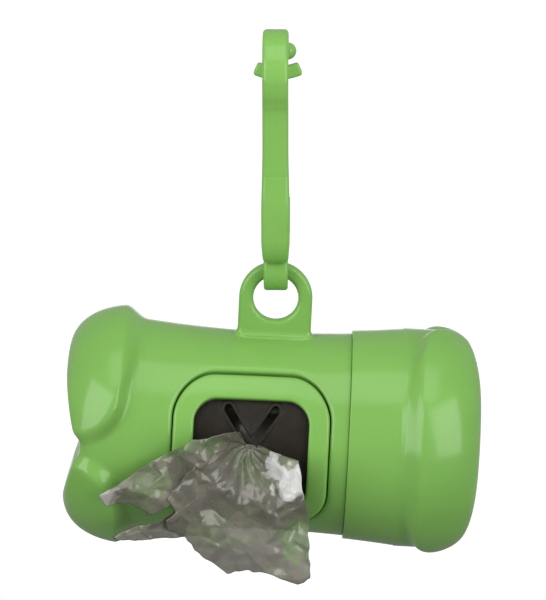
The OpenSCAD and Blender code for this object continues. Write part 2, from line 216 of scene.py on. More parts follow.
class RollSizes(bpy.types.PropertyGroup):
    length: size("Roll length", 62.0, "Length of the roll of bags")
    outer_r: size("Roll radius", 14.5, "Outer radius of the roll of bags")
    core_r: size("Core radius", 6.5, "Outer radius of the tube inside the roll")
    core_wall: size("Core wall", 1.2, "Wall of the tube")
    core_gap: size("Core gap", 0.02, "Clearance between the tube and the film")
    core_edge: size("Core edge", 0.25, "Chamfer along the edges of the tube")
    core_step: size("Core step", 0.08, "Depth of the step where the card overlaps")
    turns: number("Turns", 15, "Turns of folded film on the roll")
    slack: size("Slack", 0.06, "Space between two turns of film")


class ClipSizes(bpy.types.PropertyGroup):
    bow_in_r: size("Bow radius", 6.5, "Inner radius of the bow")
    strand_t: size("Strand thickness", 2.6, "Thickness of the bow and of the front strand")
    bow_w: size("Bow width", 5.2, "Width of the clip at the bow")
    bulge_w: size("Bulge width", 5.7, "Width of the clip at its lower bulge")
    bulge_top: size("Bulge top", 20.0, "Height above the eye at which the bulge ends")
    bow_foot: size("Bow foot", 30.0, "Height above the eye from which the bow's width holds")
    foot_extra: size("Foot thickening", 0.9, "How much the strand gains under the hinge")
    edge: size("Edge rounding", 0.85, "Rounding along the edges of the clip")
    nose_angle: turn("Nose angle", 24.0, "Angle above level at which the nose ends")
    knob_r: size("Knob radius", 1.75, "Radius of the knob beside the nose")
    knob_x: size("Knob reach", 2.35, "How far beside the middle the knob's centre is")
    knob_out: size("Knob offset", 0.15, "How far the knob lies outside the bow's inner radius")
    ring_in_r: size("Ring inner radius", 2.05, "Inner radius of the small ring")
    ring_out_r: size("Ring outer radius", 4.4, "Outer radius of the small ring")
    ring_w: size("Ring width", 4.9, "Width of the small ring")
    ring_edge: size("Ring edge", 0.6, "Rounding along the edges of the small ring")
    hinge_up: size("Hinge height", 19.0, "Height of the gate's hinge above the eye")
    hinge_back: size("Hinge place", 6.2, "Distance of the hinge behind the clip's middle")
    hinge_r: size("Hinge radius", 1.3, "Radius of the gate's hinge")
    gate_t: size("Gate thickness", 1.8, "Thickness of the gate")
    gate_w: size("Gate width", 4.4, "Width of the gate")
    gate_edge: size("Gate edge", 0.5, "Rounding along the edges of the gate and its wings")
    wing_curve: size("Wing curve", 9.8, "Inner radius of the curve of the thumb wings")
    wing_t: size("Wing height", 2.6, "Height of the thumb wings")
    wing_blunt: size("Wing blunting", 0.6, "Rounding at the ends of the thumb wings")
    wing_angle: turn("Wing angle", 17.5, "Half angle that the thumb wings span")
    wing_shift: size("Wing shift", 0.35, "How far the wings stand off the middle")


class FilmSizes(bpy.types.PropertyGroup):
    stand_off: size("Stand-off", 26.0, "How far in front of the barrel's axis the film hangs")
    ply_gap: size("Ply gap", 0.6, "Space between the two plies of the bag")
    crease: size("Crease height", 2.1, "Height of the large creases")
    crinkle: size("Crinkle height", 0.8, "Height of the small creases")
    pleat: size("Pleat height", 0.8, "Height of the pleats round the neck")
    seed: number("Seed", 7, "Seed of the creases")


class Finishes(bpy.types.PropertyGroup):
    green: colour("Green", (0.199, 0.437, 0.09), "Moulded green of the case and the clip")
    plate: colour("Plate", (0.014, 0.011, 0.007), "Brown black of the slotted plate")
    card: colour("Card", (0.48, 0.33, 0.18), "Card of the tube")
    film: colour("Film", (0.199, 0.19, 0.147), "Smoky grey of the film")
    film_tint: colour("Film tint", (0.185, 0.275, 0.115), "Green that shows through the film")
    # A painted highlight: the sheen that taut folds of the film reflect
    painted_film_sheen: colour("Film sheen", (0.66, 0.66, 0.64), "Silvery folds of the film")
    film_cover: share("Film cover", 0.8, "How much one ply of film hides")
    floor: colour("Floor", (0.31, 0.31, 0.307), "Pale floor and backdrop")


class StageSizes(bpy.types.PropertyGroup):
    distance: metres("Camera distance", 0.737, "From the camera to the middle of the barrel")
    focal: FloatProperty(
        name="Focal length",
        description="Focal length of the camera, in pixels of the picture",
        default=3600.0,
    )
    elevation: turn("Elevation", 14.3, "Angle from which the camera looks down")
    camera_roll: turn("Camera roll", 2.83, "Roll of the camera")
    bowl_r: metres("Backdrop radius", 1.5, "Radius of the backdrop")
    cove_r: metres("Cove radius", 0.3, "Radius of the curve from the floor to the backdrop")
    floor_z: metres("Floor height", -0.95, "Height of the floor")
    wall_z: metres("Wall height", 0.75, "Height of the top of the backdrop")
    patch_z: metres("Bright patch height", -0.38, "Height of the bright patch of the backdrop")
    patch_in: metres("Bright patch radius", 0.28, "Where the bright patch starts to fade")
    patch_out: metres("Bright patch reach", 0.42, "Where the bright patch has faded")
    side_glow: glow("Side glow", 0.24, "Glow of the side walls")
    back_glow: glow("Back glow", 0.95, "Glow of the bright patch")
    low_glow: share("Floor glow", 0.22, "Share of its glow that the paint keeps by the floor")
    box_glow: glow("Softbox glow", 3.1, "Glow of the softboxes")
    top_glow: glow("Top glow", 1.5, "Glow of the top light")
    sky_glow: glow("Sky glow", 0.35, "Glow of the room above")


GROUPS = {
    "barrel": BarrelSizes,
    "eye": EyeSizes,
    "window": WindowSizes,
    "roll": RollSizes,
    "clip": ClipSizes,
    "film": FilmSizes,
    "finish": Finishes,
    "stage": StageSizes,
}


def settings(group):
    """The user's values of one group."""
    return getattr(bpy.context.scene, "dispenser_" + group)


# ---------------------------------------------------------------- mesh helpers


def smooth(t):
    """Runs from 0 to 1 with a soft start and end."""
    t = np.clip(t, 0.0, 1.0)
    return t * t * (3 - 2 * t)


class Skin:
    """Collects rows of points and the faces between them, and becomes one welded mesh."""

    def __init__(self):
        self.points = []
        self.faces = []
        self.total = 0

    def grid(self, rows, around=True, over=False, holes=()):
        """Joins rows of points. around closes every row, over joins the last row to the first,
        and each hole leaves out the faces between two rows and two columns."""
        rows = np.asarray(rows, float)
        m, n, _ = rows.shape
        index = self.total + np.arange(m * n).reshape(m, n)
        if around:
            index = np.hstack([index, index[:, :1]])
        if over:
            index = np.vstack([index, index[:1]])
        keep = np.ones((index.shape[0] - 1, index.shape[1] - 1), bool)
        for row_a, row_b, column_a, column_b in holes:
            keep[row_a:row_b, column_a:column_b] = False
        corners = [index[:-1, :-1], index[:-1, 1:], index[1:, 1:], index[1:, :-1]]
        self.faces.append(np.stack(corners, -1)[keep])
        self.points.append(rows.reshape(-1, 3))
        self.total += m * n

    def piece(self, name, finish, weld=2e-6, outwards=True):
        """The finished object, welded, with its faces pointing out."""
        mesh = bpy.data.meshes.new(name)
        points = np.concatenate(self.points)
        faces = np.concatenate(self.faces)
        mesh.from_pydata(points.tolist(), [], faces.tolist())
        work = bmesh.new()
        work.from_mesh(mesh)
        bmesh.ops.remove_doubles(work, verts=work.verts, dist=weld)
        loose = [v for v in work.verts if not v.link_faces]
        bmesh.ops.delete(work, geom=loose, context="VERTS")
        if outwards:
            bmesh.ops.recalc_face_normals(work, faces=work.faces)
        work.to_mesh(mesh)
        work.free()
        mesh.shade_smooth()
        return link(name, mesh, finish)


def link(name, mesh, finish):
    """Puts a mesh in the scene with its finish."""
    mesh.materials.clear()
    mesh.materials.append(finish)
    piece = bpy.data.objects.new(name, mesh)
    bpy.context.scene.collection.objects.link(piece)
    return piece


def rounding(radius, steps):
    """Steps of a quarter round as pairs of (in from the edge, down from the face)."""
    angles = np.radians(np.linspace(0, 90, steps))
    return [(radius * (1 - math.cos(a)), radius * (1 - math.sin(a))) for a in angles]


def turned_rows(profile, y, z, points=32):
    """Rows of turning about an axis along X, from pairs of (x, radius)."""
    around = np.linspace(0, 2 * math.pi, points, endpoint=False)
    return [
        np.stack([np.full(points, x), y + r * np.cos(around), z + r * np.sin(around)], -1)
        for x, r in profile
    ]


def through(points, steps):
    """A smooth line through given points."""
    p = np.asarray(points, float)
    line = []
    for i in range(len(p) - 1):
        a, b, c, d = p[max(i - 1, 0)], p[i], p[i + 1], p[min(i + 2, len(p) - 1)]
        for j in range(steps):
            t = j / steps
            line.append(
                0.5
                * (
                    2 * b
                    + (c - a) * t
                    + (2 * a - 5 * b + 4 * c - d) * t * t
                    + (3 * b - a - 3 * c + d) * t * t * t
                )
            )
    line.append(p[-1])
    return np.array(line)


def bezier(a, b, c, d, count):
    """Points of a cubic curve from a to d."""
    t = np.linspace(0, 1, count)[:, None]
    s = 1 - t
    a, b, c, d = (np.asarray(q, float) for q in (a, b, c, d))
    return s**3 * a + 3 * s * s * t * b + 3 * s * t * t * c + t**3 * d


def lengths(path):
    """How far along a path each of its points is, from 0 to 1."""
    steps = np.linalg.norm(np.diff(path, axis=0), axis=1)
    total = np.concatenate([[0], np.cumsum(steps)])
    return total / total[-1]


def resample(path, places):
    """Points of a path at the given places, from 0 to 1."""
    at = lengths(path)
    return np.stack([np.interp(places, at, path[:, k]) for k in range(path.shape[1])], -1)


# ---------------------------------------------------------------- finishes


def nodes_of(name):
    """A new material, with its tree and its shader."""
    finish = bpy.data.materials.new(name)
    finish.use_nodes = True
    tree = finish.node_tree
    shader = tree.nodes["Principled BSDF"]
    return finish, tree, shader


def grain(tree, scale, detail, spot=(0, 0, 0), stretch=(1, 1, 1), pattern="ShaderNodeTexNoise"):
    """A pattern on object coordinates, with its own scale and stretch."""
    place = tree.nodes.new("ShaderNodeTexCoord")
    mapping = tree.nodes.new("ShaderNodeMapping")
    mapping.inputs["Location"].default_value = spot
    mapping.inputs["Scale"].default_value = stretch
    tree.links.new(place.outputs["Object"], mapping.inputs["Vector"])
    texture = tree.nodes.new(pattern)
    texture.inputs["Scale"].default_value = scale
    texture.inputs["Detail"].default_value = detail
    tree.links.new(mapping.outputs["Vector"], texture.inputs["Vector"])
    return texture


def spread(tree, value, low, high, from_low=0.3, from_high=0.7):
    """Maps a value onto a range."""
    node = tree.nodes.new("ShaderNodeMapRange")
    node.inputs["From Min"].default_value = from_low
    node.inputs["From Max"].default_value = from_high
    node.inputs["To Min"].default_value = low
    node.inputs["To Max"].default_value = high
    tree.links.new(value, node.inputs["Value"])
    return node.outputs["Result"]


def blend_colours(tree, value, low, high):
    """Mixes two colours by a value."""
    mix = tree.nodes.new("ShaderNodeMix")
    mix.data_type = "RGBA"
    mix.inputs["A"].default_value = (*low, 1)
    mix.inputs["B"].default_value = (*high, 1)
    tree.links.new(value, mix.inputs["Factor"])
    return mix.outputs["Result"]


def multiplied(tree, below, value, low, high):
    """A colour times a grey, which a value from 0 to 1 moves between low and high."""
    mix = tree.nodes.new("ShaderNodeMix")
    mix.data_type = "RGBA"
    mix.blend_type = "MULTIPLY"
    mix.inputs["Factor"].default_value = 1.0
    tree.links.new(below, mix.inputs["A"])
    tree.links.new(blend_colours(tree, value, (low,) * 3, (high,) * 3), mix.inputs["B"])
    return mix.outputs["Result"]


def bump(tree, shader, value, distance, strength):
    """Raises the surface by a value."""
    node = tree.nodes.new("ShaderNodeBump")
    node.inputs["Distance"].default_value = distance
    node.inputs["Strength"].default_value = strength
    tree.links.new(value, node.inputs["Height"])
    tree.links.new(node.outputs["Normal"], shader.inputs["Normal"])


def shade(base, factor):
    """A colour made lighter or darker."""
    return tuple(min(1.0, c * factor) for c in base)


def green_plastic(name, tone=1.0):
    """Glossy moulded plastic with a faint flow pattern and a fine skin. A tone above 1 paints a lighter
    copy of the green: painted light.
    """
    finish, tree, shader = nodes_of(name)
    # A tone above 1 paints the green lighter, as painted light on pieces that the lamps leave darker
    base = shade(settings("finish").green, tone)
    flow = grain(tree, scale=55, detail=2, stretch=(1, 1, 2.2))
    toned = blend_colours(
        tree, spread(tree, flow.outputs["Fac"], 0, 1), shade(base, 0.965), shade(base, 1.03)
    )
    tree.links.new(toned, shader.inputs["Base Color"])
    haze = grain(tree, scale=260, detail=3, spot=(0.3, 0.1, 0))
    tree.links.new(spread(tree, haze.outputs["Fac"], 0.15, 0.21), shader.inputs["Roughness"])
    skin = grain(tree, scale=1900, detail=2)
    bump(tree, shader, skin.outputs["Fac"], distance=0.004 * MM, strength=0.35)
    shader.inputs["IOR"].default_value = 1.5
    shader.inputs["Specular IOR Level"].default_value = 0.4
    shader.inputs["Subsurface Weight"].default_value = 0.12
    shader.inputs["Subsurface Radius"].default_value = (0.45, 1.0, 0.2)
    shader.inputs["Subsurface Scale"].default_value = 1.4 * MM
    return finish


def plate_plastic():
    """Dull flexible plate with fine upright ribs."""
    finish, tree, shader = nodes_of("plate_rubber")
    base = settings("finish").plate
    dust = grain(tree, scale=420, detail=4)
    toned = blend_colours(
        tree, spread(tree, dust.outputs["Fac"], 0, 1), shade(base, 0.85), shade(base, 1.35)
    )
    tree.links.new(toned, shader.inputs["Base Color"])
    ribs = grain(tree, scale=320, detail=0, pattern="ShaderNodeTexWave")
    ribs.inputs["Distortion"].default_value = 0.4
    bump(tree, shader, ribs.outputs["Fac"], distance=0.02 * MM, strength=0.7)
    shader.inputs["Roughness"].default_value = 0.5
    shader.inputs["Specular IOR Level"].default_value = 0.25
    return finish


def card_paper():
    """Wound card with long fibres."""
    finish, tree, shader = nodes_of("core_card")
    base = settings("finish").card
    fibres = grain(tree, scale=700, detail=5, stretch=(0.25, 1, 1))
    toned = blend_colours(
        tree, spread(tree, fibres.outputs["Fac"], 0, 1), shade(base, 0.78), shade(base, 1.12)
    )
    tree.links.new(toned, shader.inputs["Base Color"])
    bump(tree, shader, fibres.outputs["Fac"], distance=0.03 * MM, strength=0.6)
    shader.inputs["Roughness"].default_value = 0.85
    return finish


# Places on the hanging film where the case shows through, and where a painted highlight shows a taut
# fold's
# shine: their x and z from the middle of the barrel and their radius, in millimetres, and the share of
# colour
TINT_SPOTS = [
    (-20.5, 2.0, 3.2, 0.65),
    (-16.5, 4.2, 3.4, 0.65),
    (-12.5, 4.4, 3.0, 0.65),
    (-23.5, -4.8, 3.8, 0.5),
    (6.6, -15.0, 4.8, 0.8),
]
# Painted highlights: spots where taut folds of the film reflect the light
PAINTED_SHEEN_SPOTS = [(1.2, -0.6, 2.4, 1.0), (4.4, -2.6, 3.6, 1.0), (-32.0, -8.4, 2.8, 0.4)]


def coloured_spot(tree, below, tone, x, z, reach, most):
    """Colours the film round one place, seen from the front, with a soft and ragged rim. With the sheen
    colour it paints a highlight.
    """
    place = tree.nodes.new("ShaderNodeTexCoord")
    flat = tree.nodes.new("ShaderNodeVectorMath")
    flat.operation = "MULTIPLY"
    flat.inputs[1].default_value = (1, 0, 1)
    tree.links.new(place.outputs["Object"], flat.inputs[0])
    away = tree.nodes.new("ShaderNodeVectorMath")
    away.operation = "DISTANCE"
    away.inputs[1].default_value = (MIDDLE[0] + x * MM, 0, MIDDLE[2] + z * MM)
    tree.links.new(flat.outputs["Vector"], away.inputs[0])
    ragged = grain(tree, scale=420, detail=1)
    wander = spread(tree, ragged.outputs["Fac"], -0.45 * reach * MM, 0.45 * reach * MM)
    total = tree.nodes.new("ShaderNodeMath")
    tree.links.new(away.outputs["Value"], total.inputs[0])
    tree.links.new(wander, total.inputs[1])
    mix = tree.nodes.new("ShaderNodeMix")
    mix.data_type = "RGBA"
    mix.inputs["B"].default_value = (*tone, 1)
    near = spread(tree, total.outputs["Value"], most, 0, 0.75 * reach * MM, reach * MM)
    tree.links.new(near, mix.inputs["Factor"])
    tree.links.new(below, mix.inputs["A"])
    return mix.outputs["Result"]


def painted_facet_shading(tree, below, scale, low, high):
    """Paints each cell of the crumpled film lighter or darker: painted light and shade on its facets.
    """
    place = tree.nodes.new("ShaderNodeTexCoord")
    wander = grain(tree, scale=120, detail=2)
    bend = tree.nodes.new("ShaderNodeVectorMath")
    bend.operation = "MULTIPLY_ADD"
    bend.inputs[1].default_value = (4 * MM,) * 3
    tree.links.new(wander.outputs["Color"], bend.inputs[0])
    tree.links.new(place.outputs["Object"], bend.inputs[2])
    cells = tree.nodes.new("ShaderNodeTexVoronoi")
    cells.inputs["Scale"].default_value = scale
    tree.links.new(bend.outputs["Vector"], cells.inputs["Vector"])
    split = tree.nodes.new("ShaderNodeSeparateColor")
    tree.links.new(cells.outputs["Color"], split.inputs["Color"])
    return multiplied(tree, below, split.outputs["Red"], low, high)


def film_plastic(name, cover):
    """Thin smoky glossy film, with painted highlights on taut folds and painted light and shade on its
    facets.
    """
    finish, tree, shader = nodes_of(name)
    values = settings("finish")
    patches = grain(tree, scale=85, detail=2, spot=(0.11, 0.0, 0.24))
    film_colour = blend_colours(
        tree, spread(tree, patches.outputs["Fac"], 0, 0.5, 0.5, 0.62), values.film, values.film_tint
    )
    # The tint spots paint green where the case shows through; the sheen spots are painted highlights
    for tone, spots in (values.film_tint, TINT_SPOTS), (values.painted_film_sheen, PAINTED_SHEEN_SPOTS):
        for spot in spots:
            film_colour = coloured_spot(tree, film_colour, tone, *spot)
    # Painted light and shade on the film's facets, in large and small cells
    film_colour = painted_facet_shading(tree, film_colour, scale=130, low=0.76, high=1.12)
    film_colour = painted_facet_shading(tree, film_colour, scale=340, low=0.92, high=1.06)
    streaks = grain(tree, scale=300, detail=3, stretch=(1, 0.4, 1.4))
    film_colour = multiplied(tree, film_colour, spread(tree, streaks.outputs["Fac"], 0, 1), 0.86, 1.1)
    tree.links.new(film_colour, shader.inputs["Base Color"])
    skin = grain(tree, scale=900, detail=3)
    bump(tree, shader, skin.outputs["Fac"], distance=0.02 * MM, strength=0.5)
    tree.links.new(spread(tree, skin.outputs["Fac"], 0.16, 0.26), shader.inputs["Roughness"])
    shader.inputs["IOR"].default_value = 1.65
    shader.inputs["Specular IOR Level"].default_value = 0.5
    shader.inputs["Alpha"].default_value = cover
    return finish


def stage_paint():
    """Plain pale paint. It glows on the walls, most of all behind the object."""
    finish, tree, shader = nodes_of("pale_paint")
    s = settings("stage")
    shader.inputs["Base Color"].default_value = (*settings("finish").floor, 1)
    shader.inputs["Roughness"].default_value = 0.9
    shader.inputs["Specular IOR Level"].default_value = 0.1
    place = tree.nodes.new("ShaderNodeTexCoord")
    away = tree.nodes.new("ShaderNodeVectorMath")
    away.operation = "DISTANCE"
    away.inputs[1].default_value = (0, s.bowl_r, s.patch_z)
    tree.links.new(place.outputs["Object"], away.inputs[0])
    near = spread(tree, away.outputs["Value"], s.back_glow, s.side_glow, s.patch_in, s.patch_out)
    split = tree.nodes.new("ShaderNodeSeparateXYZ")
    tree.links.new(place.outputs["Object"], split.inputs["Vector"])
    low, high = s.floor_z + s.cove_r / 6, s.floor_z + s.cove_r
    rise = spread(tree, split.outputs["Z"], s.low_glow, 1.0, low, high)
    strength = tree.nodes.new("ShaderNodeMath")
    strength.operation = "MULTIPLY"
    tree.links.new(near, strength.inputs[0])
    tree.links.new(rise, strength.inputs[1])
    shader.inputs["Emission Color"].default_value = (1, 1, 1, 1)
    tree.links.new(strength.outputs["Value"], shader.inputs["Emission Strength"])
    return finish


# ---------------------------------------------------------------- the case


# Rows on the shoulder, on the side and on the end of a lobed head and of the hollow in it
HEAD_STEPS = (16, 36, 15)
HOLLOW_STEPS = (5, 16, 8)


def barrel_r(along):
    """Radius of the barrel at a distance from its middle."""
    b = settings("barrel")
    foot_x = HALF_LEN - b.shell_lobe - b.shoulder
    return b.waist_r + (b.foot_r - b.waist_r) * np.minimum(np.abs(along) / foot_x, 1.0) ** 2


def head_start(lobe_len):
    """Where the barrel ends and the shoulder of a lobed head starts."""
    b = settings("barrel")
    return HALF_LEN - lobe_len - b.shoulder - b.shoulder_soft


def head_rows(lobe_len, reach, inset=0.0, bore=0.0, lift=0.0, steps=HEAD_STEPS):
    """Rows of (along, radius) from the foot of a lobed head to the middle of its end.

    reach says how far towards the lobes each point of a row lies, as a share of its radius. With
    an inset the rows are those of the hollow inside. The ends lean out a little in front.
    """
    b = settings("barrel")
    ridge = HALF_LEN - lobe_len
    end_x, valley_x = HALF_LEN - b.end_in - inset, HALF_LEN - b.notch_depth - inset
    flat_r, round_r = b.lobe_r - b.end_flat - inset, b.lobe_r - b.end_round - inset
    lobe_r, foot_r = b.lobe_r - inset, bore if inset else b.foot_r + lift
    start = ridge if inset else head_start(lobe_len)
    top = ridge + (b.inner_shoulder if inset else b.shoulder_soft)
    corner = b.inner_round if inset else b.valley_round

    # A head as it would be with lobes all round
    rise = np.linspace(0, 1, steps[0])
    shoulder = np.stack([start + rise * (top - start), foot_r + (lobe_r - foot_r) * smooth(rise)], -1)
    ridge_end = (ridge + b.ridge_run, lobe_r - b.ridge_fall)
    curve = bezier((top, lobe_r), ridge_end, (end_x, round_r), (end_x, flat_r), steps[1])
    disc = np.stack([np.full(steps[2], end_x), np.linspace(flat_r, 0, steps[2])], -1)
    lobe = np.concatenate([shoulder, curve[1:], disc[1:]])

    # The same rows as they would be with a notch all round
    bend = [(valley_x - d, foot_r - i) for i, d in rounding(corner, 9)]
    low = np.array([(top, foot_r)] + bend + [(valley_x, flat_r)])
    low = resample(low, lengths(curve))
    low_shoulder = np.stack([shoulder[:, 0], np.full(steps[0], foot_r)], -1)
    low_disc = np.stack([np.full(steps[2], valley_x), disc[:, 1]], -1)
    notch = np.concatenate([low_shoulder, low[1:], low_disc[1:]])

    # The ends of the lobes slope back towards the notch
    across = lobe[:, 1:2] * reach[None, :]
    front = smooth(0.5 + 0.5 * lobe[:, 1:2] * np.cos(ANGLES) / b.front_run)
    step = b.end_step * (1 - np.exp(-across / b.step_run)) * front
    limit = valley_x + b.end_rise * across + step
    lobe_x = (lobe[:, 0:1] + limit - np.hypot(lobe[:, 0:1] - limit, b.end_soft)) / 2

    # Each point lies on the lobe or in the notch, by where it is against the lobe's side
    middle = (lobe + notch) / 2
    side_x = middle[:, 0:1] - (HALF_LEN - b.side_in)
    side_z = middle[:, 1:2] * reach[None, :] - b.side_r - b.notch_half
    side_x = side_x + b.side_lean * np.clip(side_z / (b.side_r - b.side_lean), 0, 1)
    inside = b.side_r - inset - np.hypot(side_x, np.minimum(side_z, 0))
    weight = smooth((inside + b.soft_out) / (b.soft_in + b.soft_out))
    along = notch[:, 0:1] + (lobe_x - notch[:, 0:1]) * weight
    radius = notch[:, 1:2] + (lobe[:, 1:2] - notch[:, 1:2]) * weight
    return np.stack([along, radius], -1)


def chamber_r(along):
    """Radius of the chamber for the roll, which is the same all along."""
    return np.full(np.shape(along), settings("barrel").bore_r)


def seam_rim(start, radius):
    """The rounded edge of a piece at the seam, as pairs of (along, radius)."""
    return [(start + i, radius - d) for i, d in rounding(settings("barrel").seam_edge, 6)]


def plain_rows(pairs):
    """Rows of turning from pairs of (along, radius)."""
    pairs = np.asarray(pairs, float)
    return np.repeat(pairs[:, None, :], ROUND, axis=1)


def placed(rows, angles, facing):
    """Turns rows of (along, radius) into points about the barrel's axis. facing is 1 for the
    end cap's side and -1 for the closed end's."""
    along, radius = rows[..., 0], rows[..., 1]
    x = MIDDLE[0] + facing * along
    y = MIDDLE[1] - radius * np.cos(angles)
    z = MIDDLE[2] + radius * np.sin(angles)
    return np.stack([x, y, z], -1)


def rounded_square(half, corner, side_points, corner_points):
    """Outline of a square with round corners, from the middle of its right side."""
    flat = half - corner
    quarter = [(half, t * flat) for t in np.linspace(0, 1, side_points, endpoint=False)]
    for a in np.linspace(0, math.pi / 2, corner_points, endpoint=False):
        quarter.append((flat + corner * math.cos(a), flat + corner * math.sin(a)))
    quarter += [((1 - t) * flat, half) for t in np.linspace(0, 1, side_points, endpoint=False)]
    quarter = np.array(quarter)
    turned = [quarter]
    for _ in range(3):
        quarter = np.stack([-quarter[:, 1], quarter[:, 0]], -1)
        turned.append(quarter)
    return np.concatenate(turned)


def outline_at(outline, centre, towards):
    """Points of a star-shaped outline in the directions of other points, seen from a centre."""
    own = outline - centre
    angle = np.arctan2(own[:, 1], own[:, 0])
    order = np.argsort(angle)
    dense_angle = np.concatenate([angle[order] - 2 * math.pi, angle[order], angle[order] + 2 * math.pi])
    dense = np.tile(own[order], (3, 1))
    wanted = np.arctan2(towards[:, 1] - centre[1], towards[:, 0] - centre[0])
    return np.stack([np.interp(wanted, dense_angle, dense[:, k]) for k in (0, 1)], -1) + centre


def window_patch(skin, along, angles, outline, radius_at, falls):
    """Fills the space between the rectangle that a grid leaves open and the window's outline.

    along and angles are the grid's rows and columns across the rectangle. falls lists
    (distance from the outline, depth below the surface), outermost last. Returns the (along,
    angle) pairs of the outline.
    """
    w = settings("window")
    edge = [(along[0], a) for a in angles[:-1]] + [(u, angles[-1]) for u in along[:-1]]
    edge += [(along[-1], a) for a in angles[:0:-1]] + [(u, angles[0]) for u in along[:0:-1]]
    edge = np.array(edge)
    centre = np.array([-w.place, 0.0])
    flat = np.stack([edge[:, 0], radius_at(edge[:, 0]) * np.sin(edge[:, 1])], -1)
    hole = outline_at(outline + centre, centre, flat)
    hole = np.stack([hole[:, 0], np.arcsin(hole[:, 1] / barrel_r(hole[:, 0]))], -1)
    step = edge - hole
    span = np.hypot(step[:, 0], step[:, 1] * radius_at(edge[:, 0]))
    last = falls[-1][0]
    falls = falls + [(last + (span - last) * t, 0.0) for t in (0.25, 0.5, 0.75, 1.0)]
    rings = []
    for distance, depth in falls:
        part = hole + step * (distance / span)[:, None]
        rings.append(np.stack([part[:, 0], radius_at(part[:, 0]) - depth, part[:, 1]], -1))
    rings = np.array(rings)
    skin.grid(placed(rings[..., :2], rings[..., 2], -1))
    return hole


def nearest(values, wanted):
    """Index of the value that is nearest to the wanted one."""
    return int(np.argmin(np.abs(values - wanted)))


def make_shell():
    """The shell as one skin: inside, spigot, barrel, head, window and eye."""
    b, w = settings("barrel"), settings("window")
    skin = Skin()
    reach = np.abs(np.sin(ANGLES))
    seam, mouth = -b.seam_x, -b.seam_x - b.spigot_len
    along = np.linspace(seam + b.seam_edge, head_start(b.shell_lobe), 72)
    hollow = head_rows(b.shell_lobe, reach, inset=b.wall, bore=b.bore_r, steps=HOLLOW_STEPS)

    # The grids leave the faces between these rows and columns open for the window
    half = w.outer / 2 + w.gap
    row_a, row_b = (nearest(along, -w.place + side * (half + w.margin)) for side in (-1, 1))
    top_angle = math.asin(half / b.waist_r) + w.margin / b.waist_r
    column_a, column_b = (nearest(ANGLES, side * top_angle) for side in (-1, 1))

    by_mouth = np.linspace(mouth, along[row_a], 12)[:-1]
    by_head = np.linspace(along[row_b], hollow[0, 0, 0], 8)[1:-1]
    chamber = np.concatenate([by_mouth, along[row_a : row_b + 1], by_head])
    spigot = [(mouth, b.bore_r + b.chamfer), (mouth, b.spigot_r - b.chamfer)]
    spigot += [(mouth + b.chamfer, b.spigot_r)]
    spigot += [(u, b.spigot_r) for u in np.linspace(mouth + 3 * b.chamfer, seam, 10)]
    spigot += [(seam, b.spigot_r + b.lip)]
    inside = [hollow[::-1], plain_rows([(u, b.bore_r) for u in chamber[::-1]])]
    inside += [plain_rows(spigot), plain_rows(seam_rim(seam, barrel_r(seam))[:-1])]
    outside = [plain_rows([(u, barrel_r(u)) for u in along]), head_rows(b.shell_lobe, reach)[1:]]

    # The chamber's rows run backwards, so the window's rows are counted from their end
    hole_end = len(hollow) + len(chamber) - 1 - len(by_mouth)
    hole_out = sum(len(part) for part in inside)
    skin.grid(
        placed(np.concatenate(inside + outside), ANGLES[None, :], -1),
        holes=[
            (hole_end - (row_b - row_a), hole_end, column_a, column_b),
            (hole_out + row_a, hole_out + row_b, column_a, column_b),
        ],
    )
    rows, columns = along[row_a : row_b + 1], ANGLES[column_a : column_b + 1]
    outline = rounded_square(half, w.outer_corner + w.gap, 16, 24)
    falls = [
        (w.roll_width * t, w.roll_depth * (1 - math.sqrt(1 - (1 - t) ** 2)))
        for t in np.linspace(0, 1, 10)
    ]
    hole = window_patch(skin, rows, columns, outline, barrel_r, falls)
    window_patch(skin, rows, columns, outline, chamber_r, [(0.0, 0.0), (w.roll_width / 2, 0.0)])
    top = barrel_r(hole[:, 0]) - w.roll_depth
    edge = [np.stack([hole[:, 0], top + (b.bore_r - top) * t], -1) for t in np.linspace(0, 1, 5)]
    skin.grid(placed(np.array(edge), hole[:, 1], -1))
    add_eye(skin)
    return skin.piece("shell_case", green_plastic("green_case"))


def add_eye(skin):
    """The hanging eye: a round rim that runs down into a tab, with a fillet round its foot."""
    e = settings("eye")
    outer = e.rim_r + e.tube_r
    inner = e.rim_r - e.tube_r
    eye_z = EYE[2] - e.sink
    drop = eye_z - MIDDLE[2] - e.root
    # The section is a little fuller than a circle
    full = 3
    angle = np.linspace(0, 2 * math.pi, 150, endpoint=False)
    cos, sin = np.cos(angle), np.sin(angle)
    down = np.minimum(outer / np.maximum(np.abs(cos), 1e-6), drop / np.maximum(-sin, 1e-6))
    limit = np.where(sin > 0, outer, down)
    rows = []
    for a in np.linspace(0, 2 * math.pi, 64, endpoint=False):
        part = (1 - math.cos(a)) / 2
        r = inner + (limit - inner) * part
        x, z = r * cos, r * sin
        from_out = np.where(z > 0, outer - r, np.minimum(outer - np.abs(x), z + drop))
        depth = np.clip(np.minimum(from_out, r - inner) / e.tube_r, 0, 1)
        y = e.tube_r * np.clip(1 - (1 - depth) ** full, 0, 1) ** (1 / full)
        if abs(math.sin(a)) < 1e-9:
            y = y * 0
        rows.append(np.stack([x, math.copysign(1, math.sin(a)) * y, z], -1))
    rows = np.array(rows)
    x, y, z = rows[..., 0], rows[..., 1], rows[..., 2]
    ground = np.sqrt(barrel_r(x + EYE[0] - MIDDLE[0]) ** 2 - y**2) + MIDDLE[2] - eye_z
    fillet = e.foot_fillet
    height = np.clip(z - ground, 0, fillet)
    flare = fillet - np.sqrt(fillet**2 - (fillet - height) ** 2)
    side_x = x - np.clip(x, -e.rim_r, e.rim_r)
    away = np.hypot(side_x, y) + 1e-9
    low = z < 0
    x = x + np.where(low, flare * side_x / away, 0)
    y = y + np.where(low, flare * y / away, 0)
    skin.grid(np.stack([x + EYE[0], y + EYE[1], z + eye_z], -1), over=True)


